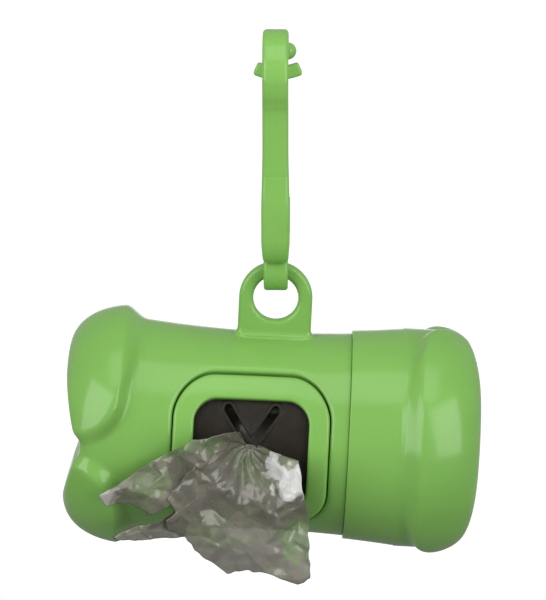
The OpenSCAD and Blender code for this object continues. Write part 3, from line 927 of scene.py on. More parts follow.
def make_cap():
    """The end cap as one skin: inside, rim, barrel and head."""
    b = settings("barrel")
    skin = Skin()
    reach = np.abs(np.cos(ANGLES - b.cap_turn))
    rim_x, bore = b.seam_x + b.seam_gap, b.spigot_r + b.slide_gap
    along = np.linspace(rim_x + b.seam_edge, head_start(b.cap_lobe), 24)
    body = [(u, barrel_r(u) + b.cap_step) for u in along]
    head = head_rows(b.cap_lobe, reach, lift=b.cap_step)
    hollow = head_rows(b.cap_lobe, reach, inset=b.wall, bore=bore, steps=HOLLOW_STEPS)
    inner = [(u, bore) for u in np.linspace(rim_x + b.chamfer, hollow[0, 0, 0], 8)[:-1]]
    rim = [(rim_x, bore + b.lip)] + seam_rim(rim_x, barrel_r(rim_x) + b.cap_step)[:-1]
    chain = [hollow[::-1], plain_rows(inner[::-1]), plain_rows(rim + body), head[1:]]
    skin.grid(placed(np.concatenate(chain), ANGLES[None, :], 1))
    return skin.piece("end_cap_case", green_plastic("green_cap"))


# ---------------------------------------------------------------- the outlet window


def curved(outline, radius, fixed_r):
    """Points over the barrel from (x, z) pairs that were drawn at fixed_r, put at radius."""
    angle = np.arcsin(np.clip(outline[:, 1] / fixed_r, -1, 1))
    x = MIDDLE[0] + outline[:, 0]
    return np.stack([x, MIDDLE[1] - radius * np.cos(angle), MIDDLE[2] + radius * np.sin(angle)], -1)


def slab(skin, x_low, x_high, half_z, r_low, r_high, points=9):
    """A short curved block inside the barrel."""
    angles = np.arcsin(np.linspace(-half_z, half_z, points) / r_high)
    rows = []
    for x, r in ((x_low, r_low), (x_high, r_low), (x_high, r_high), (x_low, r_high)):
        line = np.stack([np.full(points, x), np.full(points, r)], -1)
        rows.append(placed(line, angles, 1))
    rows = np.array(rows)
    ends = [np.repeat(rows[:, [k]].mean(0, keepdims=True), len(rows), 0) for k in (0, -1)]
    skin.grid(np.concatenate([ends[0], rows, ends[1]], 1), around=False, over=True)


def make_bezel():
    """The frame of the window, curved like the barrel, with its two snap lips."""
    b, w = settings("barrel"), settings("window")
    skin = Skin()
    centre = np.array([w.place, 0.0])
    outer = rounded_square(w.outer / 2, w.outer_corner, 14, 26) + centre
    inner = rounded_square(w.inner / 2, w.inner_corner, 14, 26) + centre
    width = (w.outer - w.inner) / 2
    ledge = 1 - w.ledge / width
    outer_edge, inner_edge = rounding(w.outer_edge, 8), rounding(w.inner_edge, 7)
    outer_foot, inner_foot = b.bore_r + 1 * MM, w.plate_r + 0.5 * MM

    def ring(part, radius=None, below=0.0):
        """A ring at a share of the way in, at a radius or below the frame's face."""
        line = outer + (inner - outer) * part
        face = barrel_r(line[:, 0]) + w.proud
        return curved(line, face - below if radius is None else np.full(len(line), radius), face)

    rows = [ring(0, b.bore_r), ring(0, outer_foot)]
    rows += [ring(i / width, below=d) for i, d in outer_edge]
    for part in (0.28, 0.4, 0.5, 0.6, 0.72):
        rows.append(ring(part, below=-w.crown * (1 - (2 * part - 1) ** 2)))
    rows += [ring(1 - i / width, below=d) for i, d in reversed(inner_edge)]
    rows += [ring(1, inner_foot), ring(1, w.plate_r)]
    rows += [ring(ledge, w.plate_r), ring(ledge, b.bore_r)]
    skin.grid(rows, over=True)

    # Each snap lip lies behind the wall, on a root that joins it to the frame
    lip_r, root_r = b.bore_r - w.snap_gap, b.bore_r + 4 * w.snap_gap
    root_half = w.snap_half - 2 * w.snap_gap
    for side in (-1, 1):
        rim = w.place + side * w.outer / 2
        near, far = rim - side * 2 * w.snap_reach, rim + side * w.snap_reach
        slab(skin, *sorted((near, far)), w.snap_half, lip_r - w.snap_t, lip_r)
        slab(skin, *sorted((near, rim)), root_half, b.bore_r - w.snap_t / 2, root_r)
    # The frame's green is painted 4% lighter: painted light on its lower, shaded side
    return skin.piece("outlet_frame", green_plastic("green_frame", 1.04))


def cross_outline(grown):
    """Outline of the crossed slots, grown outwards, from the middle of the crossing."""
    w = settings("window")
    half = w.slot_w / 2 + grown
    reach = w.slot_len / 2 - w.slot_w / 2
    arms = sorted(
        math.pi / 2 + side * w.slot_angle + turned for side in (-1, 1) for turned in (0, math.pi)
    )
    steps = np.linspace(0, 1, 10, endpoint=False)
    points = []
    for i, arm in enumerate(arms):
        before = (arm - arms[i - 1]) % (2 * math.pi)
        after = (arms[(i + 1) % 4] - arm) % (2 * math.pi)
        along = np.array([math.cos(arm), math.sin(arm)])
        side = np.array([math.sin(arm), -math.cos(arm)])
        start = along * (half / math.tan(before / 2)) + side * half
        end = along * (half / math.tan(after / 2)) - side * half
        first, last = along * reach + side * half, along * reach - side * half
        points += [start + (first - start) * t for t in steps]
        for a in np.linspace(-math.pi / 2, math.pi / 2, 13):
            points.append(along * (reach + half * math.cos(a)) - side * half * math.sin(a))
        points += [last + (end - last) * t for t in steps[1:]]
    return np.array(points) + [w.place, w.slot_up]


def make_plate():
    """The flexible plate with its crossed slots and the raised lip round them."""
    w = settings("window")
    skin = Skin()
    back = w.plate_r - w.plate_t
    half = w.inner / 2 + w.ledge - w.plate_clear
    outline = rounded_square(half, w.inner_corner + w.ledge, 30, 40) + [w.place, 0.0]
    foot = cross_outline(w.lip_w)
    border = outline_at(outline, np.array([w.place, w.slot_up]), foot)
    lip_sink, border_drop = 0.0005 * MM, 0.02 * MM

    def at(line, radius):
        return curved(line, np.full(len(line), radius), w.plate_r)

    rows = [at(cross_outline(0), back), at(cross_outline(0), w.plate_r - w.slot_edge)]
    for t in np.linspace(0, 1, 9):
        height = w.lip_h * math.sin(math.pi * min(1, 0.25 + 0.75 * t)) ** 0.8
        rows.append(at(cross_outline(w.lip_w * t), w.plate_r + height - lip_sink))
    rows += [at(foot + (border - foot) * t, w.plate_r) for t in (0.15, 0.35, 0.6, 0.85)]
    rows += [at(border, w.plate_r - border_drop), at(border, back)]
    rows += [at(foot + (border - foot) * t, back) for t in (0.7, 0.35)]
    skin.grid(rows, over=True)
    return skin.piece("slotted_plate", plate_plastic())


# ---------------------------------------------------------------- the roll


def windings_tree(finish):
    """Geometry nodes that wind a strip of film round the core, one turn on the other."""
    tree = bpy.data.node_groups.new("Film windings", "GeometryNodeTree")
    face = tree.interface
    face.new_socket("Geometry", in_out="INPUT", socket_type="NodeSocketGeometry")
    for name in ("Core radius", "Roll radius", "Roll length", "Turns", "Film pack"):
        face.new_socket(name, in_out="INPUT", socket_type="NodeSocketFloat")
    face.new_socket("Geometry", in_out="OUTPUT", socket_type="NodeSocketGeometry")
    given = tree.nodes.new("NodeGroupInput")
    result = tree.nodes.new("NodeGroupOutput")
    spiral = tree.nodes.new("GeometryNodeCurveSpiral")
    spiral.inputs["Resolution"].default_value = 64
    spiral.inputs["Height"].default_value = 0.0
    strip = tree.nodes.new("GeometryNodeCurvePrimitiveQuadrilateral")
    sweep = tree.nodes.new("GeometryNodeCurveToMesh")
    sweep.inputs["Fill Caps"].default_value = True
    stand = tree.nodes.new("GeometryNodeTransform")
    stand.inputs["Rotation"].default_value = (0, math.pi / 2, 0)
    solid = tree.nodes.new("GeometryNodeRealizeInstances")
    paint = tree.nodes.new("GeometryNodeSetMaterial")
    paint.inputs["Material"].default_value = finish
    join = tree.links.new
    join(given.outputs["Turns"], spiral.inputs["Rotations"])
    join(given.outputs["Core radius"], spiral.inputs["Start Radius"])
    join(given.outputs["Roll radius"], spiral.inputs["End Radius"])
    join(given.outputs["Film pack"], strip.inputs["Width"])
    join(given.outputs["Roll length"], strip.inputs["Height"])
    join(spiral.outputs["Curve"], sweep.inputs["Curve"])
    join(strip.outputs["Curve"], sweep.inputs["Profile Curve"])
    join(sweep.outputs["Mesh"], stand.inputs["Geometry"])
    join(stand.outputs["Geometry"], solid.inputs["Geometry"])
    join(solid.outputs["Geometry"], paint.inputs["Geometry"])
    join(paint.outputs["Geometry"], result.inputs["Geometry"])
    return tree


def grown(tree, values, name, finish):
    """Runs a geometry nodes tree once and returns the result as a plain piece."""
    seed = bpy.data.objects.new(name + "_seed", bpy.data.meshes.new(name + "_seed"))
    bpy.context.scene.collection.objects.link(seed)
    modifier = seed.modifiers.new("Grow", "NODES")
    modifier.node_group = tree
    for socket in tree.interface.items_tree:
        if socket.in_out == "INPUT" and socket.name in values:
            modifier[socket.identifier] = values[socket.name]
    bpy.context.view_layer.update()
    graph = bpy.context.evaluated_depsgraph_get()
    mesh = bpy.data.meshes.new_from_object(seed.evaluated_get(graph))
    seed.modifiers.remove(modifier)
    bpy.data.objects.remove(seed)
    mesh.name = name
    return link(name, mesh, finish)


def make_roll():
    """The wound film, with its windings joined to one closed skin."""
    r = settings("roll")
    finish = film_plastic("roll_film", 1.0)
    pitch = (r.outer_r - r.core_r) / (r.turns + 0.5)
    half_turn = 0.55 * pitch
    values = {
        "Core radius": r.core_r + half_turn,
        "Roll radius": r.outer_r - half_turn,
        "Roll length": r.length,
        "Turns": float(r.turns - 1),
        "Film pack": pitch - r.slack,
    }
    piece = grown(windings_tree(finish), values, "film_roll", finish)
    piece.data.transform(Matrix.Translation(ROLL_MIDDLE))
    work = bmesh.new()
    work.from_mesh(piece.data)
    bmesh.ops.remove_doubles(work, verts=work.verts, dist=2e-6)
    bmesh.ops.recalc_face_normals(work, faces=work.faces)
    work.to_mesh(piece.data)
    work.free()
    return piece


def make_core():
    """The card tube, with a shallow step that winds round it where the card overlaps."""
    r = settings("roll")
    skin = Skin()
    outer, inner = r.core_r - r.core_gap, r.core_r - r.core_wall
    half, edge, pitch = r.length / 2, r.core_edge, 18 * MM
    profile = [(-half, outer - edge), (-half + edge, outer)]
    profile += [(x, outer) for x in np.linspace(-half, half, 60)[1:-1]]
    profile += [(half - edge, outer), (half, outer - edge)]
    profile += [(half, inner + edge), (half - edge, inner)]
    profile += [(x, inner) for x in np.linspace(half, -half, 6)[1:-1]]
    profile += [(-half + edge, inner), (-half, inner + edge)]
    angles = np.linspace(0, 2 * math.pi, 96, endpoint=False)
    rows = []
    for x, radius in profile:
        if radius == outer:
            wound = (angles / (2 * math.pi) + x / pitch) % 1
            radius = outer - r.core_step * smooth(wound * 12)
        y, z = radius * np.cos(angles), radius * np.sin(angles)
        rows.append(ROLL_MIDDLE + np.stack([np.full(len(angles), x), y, z], -1))
    skin.grid(rows, over=True)
    return skin.piece("card_core", card_paper())


# ---------------------------------------------------------------- the clip


def clip_place(points):
    """Points of the clip, given about the bow's centre, leant by the clip's tilt."""
    points = np.asarray(points, float)
    x, y, z = points[..., 0], points[..., 1], points[..., 2]
    cos, sin = math.cos(TILT), math.sin(TILT)
    return np.stack([x * cos - z * sin, y, x * sin + z * cos], -1)


def corner_points(corner, half_w, half_t, edge, steps):
    """Points round one of the four rounded corners of a bar's section."""
    sx, st = ((1, 1), (-1, 1), (-1, -1), (1, -1))[corner]
    angles = np.radians(np.linspace(0, 90, steps) + 90 * corner)
    return [
        (sx * (half_w - edge) + edge * math.cos(a), st * (half_t - edge) + edge * math.sin(a))
        for a in angles
    ]


def bar_section(width, thick, edge):
    """Rounded bar section as (x, out) pairs, with a fine groove along two of its faces."""
    half_w, half_t = width / 2, thick / 2
    edge = min(edge, half_t * 0.95)
    groove_w, groove_d = 0.18 * MM, 0.05 * MM
    points = []
    for corner in range(4):
        points += corner_points(corner, half_w, half_t, edge, 6)
        side = {0: 1, 2: -1}.get(corner, 0)
        if side:
            for x, deep in ((2.6, 0), (1, 0), (0, 1), (-1, 0), (-2.6, 0)):
                points.append((side * x * groove_w, side * (half_t - deep * groove_d)))
    return np.array(points)


def bar(skin, path, widths, thicks, edge, round_start, round_end):
    """Sweeps a rounded bar along a path of (y, z), with domed ends."""
    steps = np.gradient(path, axis=0)
    steps /= np.linalg.norm(steps, axis=1)[:, None]

    def row(at, shift=0.0, scale=1.0):
        section = bar_section(widths[at], thicks[at], edge) * scale
        ahead = steps[at]
        centre = path[at] + ahead * shift
        y = centre[0] - section[:, 1] * ahead[1]
        z = centre[1] + section[:, 1] * ahead[0]
        return np.stack([section[:, 0], y, z], -1)

    def dome(at, depth):
        angles = np.radians([0, 25, 45, 65, 80])
        rows = [row(at, depth * math.sin(a), 1 - (1 - math.cos(a)) * 0.45) for a in angles]
        return rows + [row(at, depth, 0.0)]

    rows = dome(0, -round_start)[::-1]
    rows += [row(i) for i in range(1, len(path) - 1)]
    rows += dome(-1, round_end)
    skin.grid(clip_place(rows))


def ring_bar(skin, centre_z, r_in, r_out, width, edge):
    """A closed ring about X with a rounded section."""
    section = bar_section(width, r_out - r_in, edge)
    middle = (r_in + r_out) / 2
    rows = []
    for a in np.linspace(0, 2 * math.pi, 72, endpoint=False):
        r = middle + section[:, 1]
        rows.append(np.stack([section[:, 0], r * math.cos(a), centre_z + r * math.sin(a)], -1))
    skin.grid(clip_place(rows), over=True)


def ball(skin, centre, radius):
    """A round knob with closed poles."""
    x, y, z = centre
    angles = np.radians(np.linspace(-90, 90, 17))
    profile = [(x + radius * math.sin(a), radius * math.cos(a)) for a in angles]
    skin.grid(clip_place(turned_rows(profile, y, z)))


def front_line():
    """Middle line of the nose, the bow, the front strand and the curve under it."""
    c = settings("clip")
    mid_r = c.bow_in_r + c.strand_t / 2
    bow = []
    for a in np.linspace(c.nose_angle, math.pi, 44):
        bow.append((mid_r * math.cos(a), mid_r * math.sin(a)))
    bottom = c.ring_out_r + settings("eye").rim_r - 1 * MM
    strand_in, bulge_in, back = 6.2 * MM, 6.8 * MM, c.hinge_back
    top = CLIP_LEN
    points = [
        (-mid_r, top),
        (-mid_r + 0.35 * MM, top - 2.4 * MM),
        (-strand_in - 0.5 * MM, top - 4.6 * MM),
        (-strand_in, top - 7.6 * MM),
        (-strand_in, top - 18 * MM),
        (-strand_in - 0.1 * MM, bottom + 16 * MM),
        (-bulge_in, bottom + 11 * MM),
        (-bulge_in, bottom + 5.5 * MM),
        (-bulge_in + 0.3 * MM, bottom + 2.2 * MM),
        (-bulge_in + 1.4 * MM, bottom + 0.2 * MM),
        (-bulge_in + 3.2 * MM, bottom - 0.3 * MM),
        (-1 * MM, bottom),
        (1 * MM, bottom + 0.1 * MM),
        (back - 2.8 * MM, bottom + 1.4 * MM),
        (back - 0.8 * MM, bottom + 4 * MM),
        (back, c.hinge_up - c.hinge_r - 0.9 * MM),
        (back, c.hinge_up - 0.3 * MM),
    ]
    strand = through(points, 8) - np.array([0, CLIP_LEN])
    return np.concatenate([np.array(bow), strand[1:]]), bottom


def make_hook():
    """The hook: its nose with the knob, the bow, the front strand and the small ring."""
    c, e = settings("clip"), settings("eye")
    skin = Skin()
    line, bottom = front_line()
    up = line[:, 1] + CLIP_LEN
    heights = [bottom, bottom + 3 * MM, c.bulge_top, c.bow_foot]
    widths = np.interp(up, heights, [c.bow_w, c.bulge_w, c.bulge_w, c.bow_w])
    gained = np.interp(up, [bottom + 4 * MM, c.hinge_up], [0, c.foot_extra])
    thicks = c.strand_t + np.where((line[:, 0] > 0) & (up < c.hinge_up), gained, 0)
    bar(skin, line, widths, thicks, c.edge, round_start=0.7 * MM, round_end=0.1 * MM)
    ring_z = e.rim_r - e.sink - CLIP_LEN
    ring_bar(skin, ring_z, c.ring_in_r, c.ring_out_r, c.ring_w, c.ring_edge)
    reach = c.bow_in_r + c.knob_out + c.knob_r
    knob = (c.knob_x, reach * math.cos(c.nose_angle), reach * math.sin(c.nose_angle))
    ball(skin, knob, c.knob_r)
    # The neck from the middle of the nose to the knob, in shares of the knob's reach and radius
    neck = [(0, 0), (0, 0.93), (0.35, 0.93), (0.8, 0.8928), (1, 0.837), (1, 0)]
    profile = [(x * c.knob_x, r * c.knob_r) for x, r in neck]
    skin.grid(clip_place(turned_rows(profile, *knob[1:])))
    # The hook's green is painted 12% lighter: painted light on parts that face down and fall in shade
    return skin.piece("snap_hook", green_plastic("green_hook", 1.12))


def make_gate():
    """The sprung strand behind, with its hinge at the foot and the thumb bar at the tip."""
    c = settings("clip")
    skin = Skin()
    tip_y = c.bow_in_r + 1.4 * MM
    points = [
        (c.hinge_back, c.hinge_up),
        (c.hinge_back, c.hinge_up + 6 * MM),
        (c.hinge_back, CLIP_LEN - 9 * MM),
        (c.hinge_back + 0.4 * MM, CLIP_LEN - 6 * MM),
        (c.hinge_back + 1.2 * MM, CLIP_LEN - 3.6 * MM),
        (tip_y, CLIP_LEN - 1.6 * MM),
    ]
    line = through(points, 8) - np.array([0, CLIP_LEN])
    widths, thicks = np.full(len(line), c.gate_w), np.full(len(line), c.gate_t)
    bar(skin, line, widths, thicks, c.gate_edge, round_start=0.1 * MM, round_end=0.3 * MM)
    half, edge = c.gate_w / 2, 0.25 * MM
    left = [(-half, 0), (-half, c.hinge_r - edge), (-half + edge, c.hinge_r)]
    right = [(-x, r) for x, r in reversed(left)]
    skin.grid(clip_place(turned_rows(left + right, c.hinge_back, c.hinge_up - CLIP_LEN)))
    add_wings(skin, tip_y)
    # The gate's green is painted 8% lighter: painted light, as on the hook
    return skin.piece("snap_gate", green_plastic("green_gate", 1.08))


def add_wings(skin, tip_y):
    """The curved thumb bar across the gate's tip, with rounded edges and ends."""
    c = settings("clip")
    mid_r = c.wing_curve + c.wing_t / 2
    middle_z = 0.2 * MM + c.wing_curve
    half_high = c.wing_t / 2
    corners = [corner_points(k, c.strand_t / 2, half_high, c.gate_edge, 5) for k in range(4)]
    section = np.concatenate(corners)
    # Angles along the bar, each with the share of its height that is left there
    end, blunt = c.wing_angle + half_high / mid_r, c.wing_blunt / mid_r
    flat_end = end - blunt
    tip = [(-end, 0.0)]
    for a in np.radians([90, 70, 50, 30, 10]):
        left_over = 1 - c.wing_blunt / half_high * (1 - math.cos(a))
        tip.append((-end + blunt * (1 - math.sin(a)), left_over))
    middle = [(angle, 1.0) for angle in np.linspace(-flat_end, flat_end, 19)]
    rows = []
    for angle, scale in tip + middle + [(-angle, scale) for angle, scale in reversed(tip)]:
        radial = mid_r + section[:, 1] * scale
        deep = tip_y + section[:, 0] * (0.55 + 0.45 * scale if scale else 0)
        x = c.wing_shift + radial * math.sin(angle)
        z = middle_z - radial * math.cos(angle)
        rows.append(np.stack([x, deep, z], -1))
    skin.grid(clip_place(rows))


# ---------------------------------------------------------------- the film


class Creases:
    """Flat facets with sharp folds between them, as in crumpled film."""

    def __init__(self, spacing, height, low, high, chance):
        columns = int((high[0] - low[0]) / spacing) + 3
        rows = int((high[1] - low[1]) / spacing) + 3
        spots = []
        for i in range(columns):
            for j in range(rows):
                shift = chance.uniform(-0.42, 0.42, 2)
                spots.append(
                    (low[0] + (i - 1 + shift[0]) * spacing, low[1] + (j - 1 + shift[1]) * spacing)
                )
        made = delaunay_2d_cdt([Vector(s) for s in spots], [], [], 0, 1e-9)
        self.spots = np.array([tuple(v) for v in made[0]])
        self.triangles = np.array([tuple(f) for f in made[2] if len(f) == 3])
        self.heights = chance.uniform(-height, height, len(self.spots))

    def at(self, points):
        """Height of the facets at each point."""
        result = np.zeros(len(points))
        for a, b, c in self.triangles:
            p, q, r = self.spots[a], self.spots[b], self.spots[c]
            low, high = np.minimum(np.minimum(p, q), r), np.maximum(np.maximum(p, q), r)
            near = np.all((points >= low - 1e-9) & (points <= high + 1e-9), axis=1)
            if not near.any():
                continue
            area = (q[0] - p[0]) * (r[1] - p[1]) - (r[0] - p[0]) * (q[1] - p[1])
            d = points[near] - p
            v = (d[:, 0] * (r[1] - p[1]) - (r[0] - p[0]) * d[:, 1]) / area
            w = ((q[0] - p[0]) * d[:, 1] - d[:, 0] * (q[1] - p[1])) / area
            within = (v >= -1e-6) & (w >= -1e-6) & (v + w <= 1 + 1e-6)
            spot = np.nonzero(near)[0][within]
            v, w = v[within], w[within]
            result[spot] = (
                self.heights[a] * (1 - v - w) + self.heights[b] * v + self.heights[c] * w
            )
        return result


# Petals of the film, as (x, z) pairs in millimetres from the middle of the barrel. Each runs
# from a short root line to a ragged edge.
NECK_LINE = [(-5.1, 2.6), (-3.3, 2.4)]
WING_EDGE = [
    (-6.2, 5.6), (-9.0, 6.2), (-15.7, 5.0), (-19.9, 1.9), (-21.6, 0.8), (-33.7, -7.8),
    (-32.4, -9.6), (-28.0, -9.7), (-24.1, -11.2), (-24.0, -12.2), (-20.0, -7.5), (-12.0, -8.5),
]
BODY_EDGE = [
    (-9.0, 4.4), (-15.5, -0.5), (-20.0, -7.4), (-18.1, -10.1), (-20.4, -12.0), (-19.6, -14.6),
    (-17.7, -14.3), (-16.0, -15.9), (-14.1, -18.5), (-11.0, -20.8), (-7.5, -23.4), (-4.9, -22.8),
    (-3.2, -22.1), (0.0, -22.6), (6.6, -23.9), (9.2, -22.6), (8.3, -13.9), (8.1, -10.2),
    (7.2, -6.1), (6.6, -3.2), (5.6, 1.9), (2.2, 1.2), (-1.0, 1.3), (-2.2, 2.6),
]
STRIP_ROOT = [(-12.0, -9.0), (-11.0, -15.8)]
STRIP_EDGE = [
    (-18.0, -10.1), (-20.5, -12.0), (-26.5, -14.2), (-30.9, -16.6), (-29.8, -17.4),
    (-27.3, -17.1), (-19.9, -16.5), (-16.0, -16.2),
]
# Each petal's root and edge, its columns and rows, and in millimetres how far it lies in front
# of the film's middle and how far its foot leans back; then its set of creases and how ragged
# its edge is, in millimetres
PETALS = (
    (STRIP_ROOT, STRIP_EDGE, 90, 40, -1.7, 0.0, 1, 0.15),
    (NECK_LINE, WING_EDGE, 170, 90, -0.9, 0.0, 0, 0.12),
    (NECK_LINE, BODY_EDGE, 240, 90, 0.3, 1.2, 2, 0.22),
)


def petal(skin, root, edge, columns, layers, depth_at, gap, ragged, chance):
    """One double-ply flap between a root line and its ragged edge, closed all round."""
    root, edge = np.asarray(root, float) * MM, np.asarray(edge, float) * MM
    places = np.linspace(0, 1, columns)
    rim = resample(edge, places)
    along = np.gradient(rim, axis=0)
    out = np.stack([-along[:, 1], along[:, 0]], -1)
    out /= np.linalg.norm(out, axis=1)[:, None] + 1e-12
    wobble = np.interp(places, np.linspace(0, 1, columns // 3), chance.uniform(-1, 1, columns // 3))
    rim = rim + out * (wobble * ragged * np.sin(math.pi * places) ** 0.3)[:, None]
    start = resample(root, places)
    inwards = np.linspace(0, 1, layers)[:, None]
    flat = start + (rim - start) * inwards[..., None]
    free = np.clip(np.sin(math.pi * inwards), 0, 1) ** 0.35
    free = free * np.clip(np.minimum(places, 1 - places) * 12, 0, 1)
    shared = depth_at(flat.reshape(-1, 2), 0).reshape(layers, columns)
    for sign in (-1, 1):
        own = depth_at(flat.reshape(-1, 2), sign).reshape(layers, columns)
        y = shared + (own - shared + sign * gap / 2) * free
        skin.grid(np.stack([flat[..., 0], y, flat[..., 1]], -1) + MIDDLE, around=False)


def make_film():
    """The tail of film: three petals that gather in the crossing of the slots."""
    f, w = settings("film"), settings("window")
    chance = np.random.default_rng(f.seed)
    low, high = np.array([-36.0, -25.0]) * MM, np.array([12.0, 8.0]) * MM
    large, middle, small = (
        [Creases(spacing * MM, height, low, high, chance) for _ in range(3)]
        for spacing, height in ((7.5, f.crease), (3.2, f.crinkle), (1.5, f.crinkle * 0.3))
    )
    neck = np.array([w.place, w.slot_up])
    start = -(w.plate_r - 0.3 * MM)
    # Distances from the neck over which the film swings out, pleats, crumples and hangs
    swing, pleat_in, pleat_out, crumple, hang = (d * MM for d in (9, 4, 13, 6, 24))

    def depth(layer, lean, kind):
        """A petal's depth along Y, from its layer, its lean and its set of creases."""

        def at(flat, sign):
            off = flat - neck
            far = np.hypot(off[:, 0], off[:, 1])
            base = start + (-(f.stand_off + layer) - start) * smooth(far / swing)
            base = base + lean * np.clip(-off[:, 1] / hang, 0, 1) ** 2
            spoke = np.arctan2(off[:, 1], off[:, 0]) + 0.35 * np.sin(far / (3.1 * MM) + kind)
            pleat = np.abs(((spoke * 1.9 + kind * 0.37) % 1) - 0.5) * 2 - 0.5
            pleat = pleat * smooth(far / pleat_in) * (1 - smooth(far / pleat_out))
            rough = large[kind].at(flat) + middle[kind].at(flat) + small[kind].at(flat)
            if sign > 0:
                other = (kind + 1) % 3
                rough = 0.75 * rough + 0.25 * (large[other].at(flat) + middle[other].at(flat))
            return base + f.pleat * pleat + rough * smooth(far / crumple)

        return at

    skin = Skin()
    for root, edge, columns, layers, layer, lean, kind, ragged in PETALS:
        depth_at = depth(layer * MM, lean * MM, kind)
        petal(skin, root, edge, columns, layers, depth_at, f.ply_gap, ragged * MM, chance)
    return skin.piece("film_tail", film_plastic("tail_film", settings("finish").film_cover))


# ---------------------------------------------------------------- the stage


def make_floor():
    """The floor and the backdrop, as one bowl with a rounded foot."""
    s = settings("stage")
    skin = Skin()
    foot_r = s.bowl_r - s.cove_r
    profile = [(0.0, s.floor_z), (0.4, s.floor_z), (foot_r, s.floor_z)]
    for a in np.radians(np.linspace(10, 90, 9)):
        up = s.cove_r * (1 - math.cos(a))
        profile.append((foot_r + s.cove_r * math.sin(a), s.floor_z + up))
    profile.append((s.bowl_r, s.wall_z))
    around = np.linspace(0, 2 * math.pi, 96, endpoint=False)
    cos, sin = np.cos(around), np.sin(around)
    skin.grid([np.stack([r * cos, r * sin, np.full(len(cos), z)], -1) for r, z in profile])
    floor = skin.piece("floor", stage_paint(), outwards=False)


def area_light(name, place, target, width, height, brightness):
    """A soft box that faces a target, given by how bright it looks."""
    lamp = bpy.data.lights.new(name, "AREA")
    lamp.shape = "RECTANGLE"
    lamp.size = width
    lamp.size_y = height
    lamp.energy = brightness * math.pi * width * height
    holder = bpy.data.objects.new(name, lamp)
    holder.location = place
    aim = Vector(target) - Vector(place)
    holder.rotation_euler = aim.to_track_quat("-Z", "Y").to_euler()
    holder.visible_camera = False
    bpy.context.scene.collection.objects.link(holder)


def polar(distance, azimuth, elevation):
    """A place round the middle of the barrel. Azimuth 0 is in front and 90 to the right."""
    a, e = math.radians(azimuth), math.radians(elevation)
    return Vector(MIDDLE) + distance * Vector(
        (math.sin(a) * math.cos(e), -math.cos(a) * math.cos(e), math.sin(e))
    )


def make_lights():
    """Two soft boxes at the sides, one above, and a pale room round them."""
    s = settings("stage")
    target = Vector(MIDDLE)
    for side, azimuth in (("left", -49), ("right", 49)):
        place = polar(distance=0.85, azimuth=azimuth, elevation=20)
        area_light("softbox_" + side, place, target, 0.6, 0.7, s.box_glow)
    place = polar(distance=0.9, azimuth=0, elevation=70)
    area_light("softbox_top", place, target, 0.9, 0.6, s.top_glow)
    world = bpy.data.worlds.new("pale_room")
    world.use_nodes = True
    room = world.node_tree.nodes["Background"]
    room.inputs["Color"].default_value = (1, 1, 1, 1)
    room.inputs["Strength"].default_value = s.sky_glow
    bpy.context.scene.world = world
    bpy.context.scene.view_settings.view_transform = "Standard"


def make_camera():
    """The camera, aimed so that the barrel's middle falls where it should in the picture."""
    s = settings("stage")
    aim_x, aim_y = MIDDLE_COLUMN - PICTURE_W / 2, PICTURE_H / 2 - MIDDLE_ROW
    right = Vector((1, 0, 0))
    up = Vector((0, math.sin(s.elevation), math.cos(s.elevation)))
    ahead = Vector((0, math.cos(s.elevation), -math.sin(s.elevation)))
    cos, sin = math.cos(s.camera_roll), math.sin(s.camera_roll)
    side, over = right * cos + up * sin, up * cos - right * sin
    per_pixel = s.distance / s.focal
    place = Vector(MIDDLE) - (side * aim_x + over * aim_y) * per_pixel - ahead * s.distance
    lens = bpy.data.cameras.new("camera")
    lens.sensor_fit = "AUTO"
    lens.sensor_width = 36.0
    lens.lens = s.focal * lens.sensor_width / PICTURE_H
    lens.clip_start, lens.clip_end = 0.05, 20.0
    camera = bpy.data.objects.new("camera", lens)
    axes = Matrix((side, over, -ahead)).transposed()
    camera.matrix_world = Matrix.Translation(place) @ axes.to_4x4()
    bpy.context.scene.collection.objects.link(camera)
    bpy.context.scene.camera = camera


# ---------------------------------------------------------------- operators


class DISPENSER_OT_shell(bpy.types.Operator):
    """Builds the shell with its lobes, window, spigot and hanging eye"""

    bl_idname = "dispenser.shell"
    bl_label = "Shell"

    def execute(self, context):
        piece = make_shell()
        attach(piece, "dispenser")
        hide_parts("shell")
        return {"FINISHED"}


class DISPENSER_OT_end_cap(bpy.types.Operator):
    """Builds the end cap that pushes on to the spigot"""

    bl_idname = "dispenser.end_cap"
    bl_label = "End cap"

    def execute(self, context):
        piece = make_cap()
        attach(piece, "cap")
        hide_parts("end_cap")
        return {"FINISHED"}


class DISPENSER_OT_outlet(bpy.types.Operator):
    """Builds the frame of the outlet window and its slotted plate"""

    bl_idname = "dispenser.outlet"
    bl_label = "Outlet window"

    def execute(self, context):
        bezel = make_bezel()
        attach(bezel, "dispenser")
        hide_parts("outlet_bezel")
        plate = make_plate()
        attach(plate, "dispenser")
        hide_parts("outlet_membrane")
        return {"FINISHED"}


class DISPENSER_OT_roll(bpy.types.Operator):
    """Winds the roll of bags on its card core"""

    bl_idname = "dispenser.roll"
    bl_label = "Roll of bags"

    def execute(self, context):
        roll = make_roll()
        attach(roll, "roll")
        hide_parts("bag_roll")
        core = make_core()
        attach(core, "roll")
        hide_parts("roll_core")
        return {"FINISHED"}


class DISPENSER_OT_film(bpy.types.Operator):
    """Gathers the film that hangs out of the crossed slots"""

    bl_idname = "dispenser.film"
    bl_label = "Hanging film"

    def execute(self, context):
        film = make_film()
        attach(film, "dispenser")
        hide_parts("bag_tail")
        return {"FINISHED"}


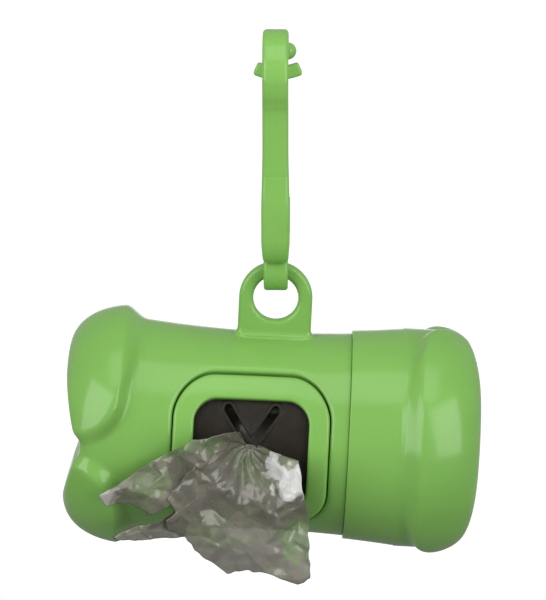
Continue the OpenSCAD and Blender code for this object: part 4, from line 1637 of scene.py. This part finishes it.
class DISPENSER_OT_clip(bpy.types.Operator):
    """Builds the snap hook and its springy gate"""

    bl_idname = "dispenser.clip"
    bl_label = "Clip"

    def execute(self, context):
        hook = make_hook()
        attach(hook, "clip")
        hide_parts("clip_hook")
        gate = make_gate()
        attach(gate, "gate")
        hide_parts("clip_gate")
        return {"FINISHED"}


class DISPENSER_OT_stage(bpy.types.Operator):
    """Sets the pale floor, the soft lights and the camera"""

    bl_idname = "dispenser.stage"
    bl_label = "Stage"

    def execute(self, context):
        make_floor()
        make_lights()
        make_camera()
        return {"FINISHED"}


OPERATORS = (
    DISPENSER_OT_shell,
    DISPENSER_OT_end_cap,
    DISPENSER_OT_outlet,
    DISPENSER_OT_roll,
    DISPENSER_OT_film,
    DISPENSER_OT_clip,
    DISPENSER_OT_stage,
)


class DISPENSER_PT_panel(bpy.types.Panel):
    """Lists the pieces and the values that they are made from"""

    bl_idname = "DISPENSER_PT_panel"
    bl_label = "Bag dispenser"
    bl_space_type = "VIEW_3D"
    bl_region_type = "UI"
    bl_category = "Dispenser"

    def draw(self, context):
        for operator in OPERATORS:
            self.layout.operator(operator.bl_idname)
        for group in GROUPS:
            values = getattr(context.scene, "dispenser_" + group)
            box = self.layout.box()
            box.label(text=group.capitalize())
            for name in values.__annotations__:
                box.prop(values, name)


CLASSES = (*GROUPS.values(), *OPERATORS, DISPENSER_PT_panel)


def register():
    for item in CLASSES:
        bpy.utils.register_class(item)
    for group, kind in GROUPS.items():
        setattr(bpy.types.Scene, "dispenser_" + group, PointerProperty(type=kind))


def unregister():
    for group in GROUPS:
        delattr(bpy.types.Scene, "dispenser_" + group)
    for item in reversed(CLASSES):
        bpy.utils.unregister_class(item)


def main():
    register()
    bpy.ops.dispenser.shell()
    bpy.ops.dispenser.end_cap()
    bpy.ops.dispenser.outlet()
    bpy.ops.dispenser.roll()
    bpy.ops.dispenser.film()
    bpy.ops.dispenser.clip()
    bpy.ops.dispenser.stage()


if __name__ == "__main__":
    main()
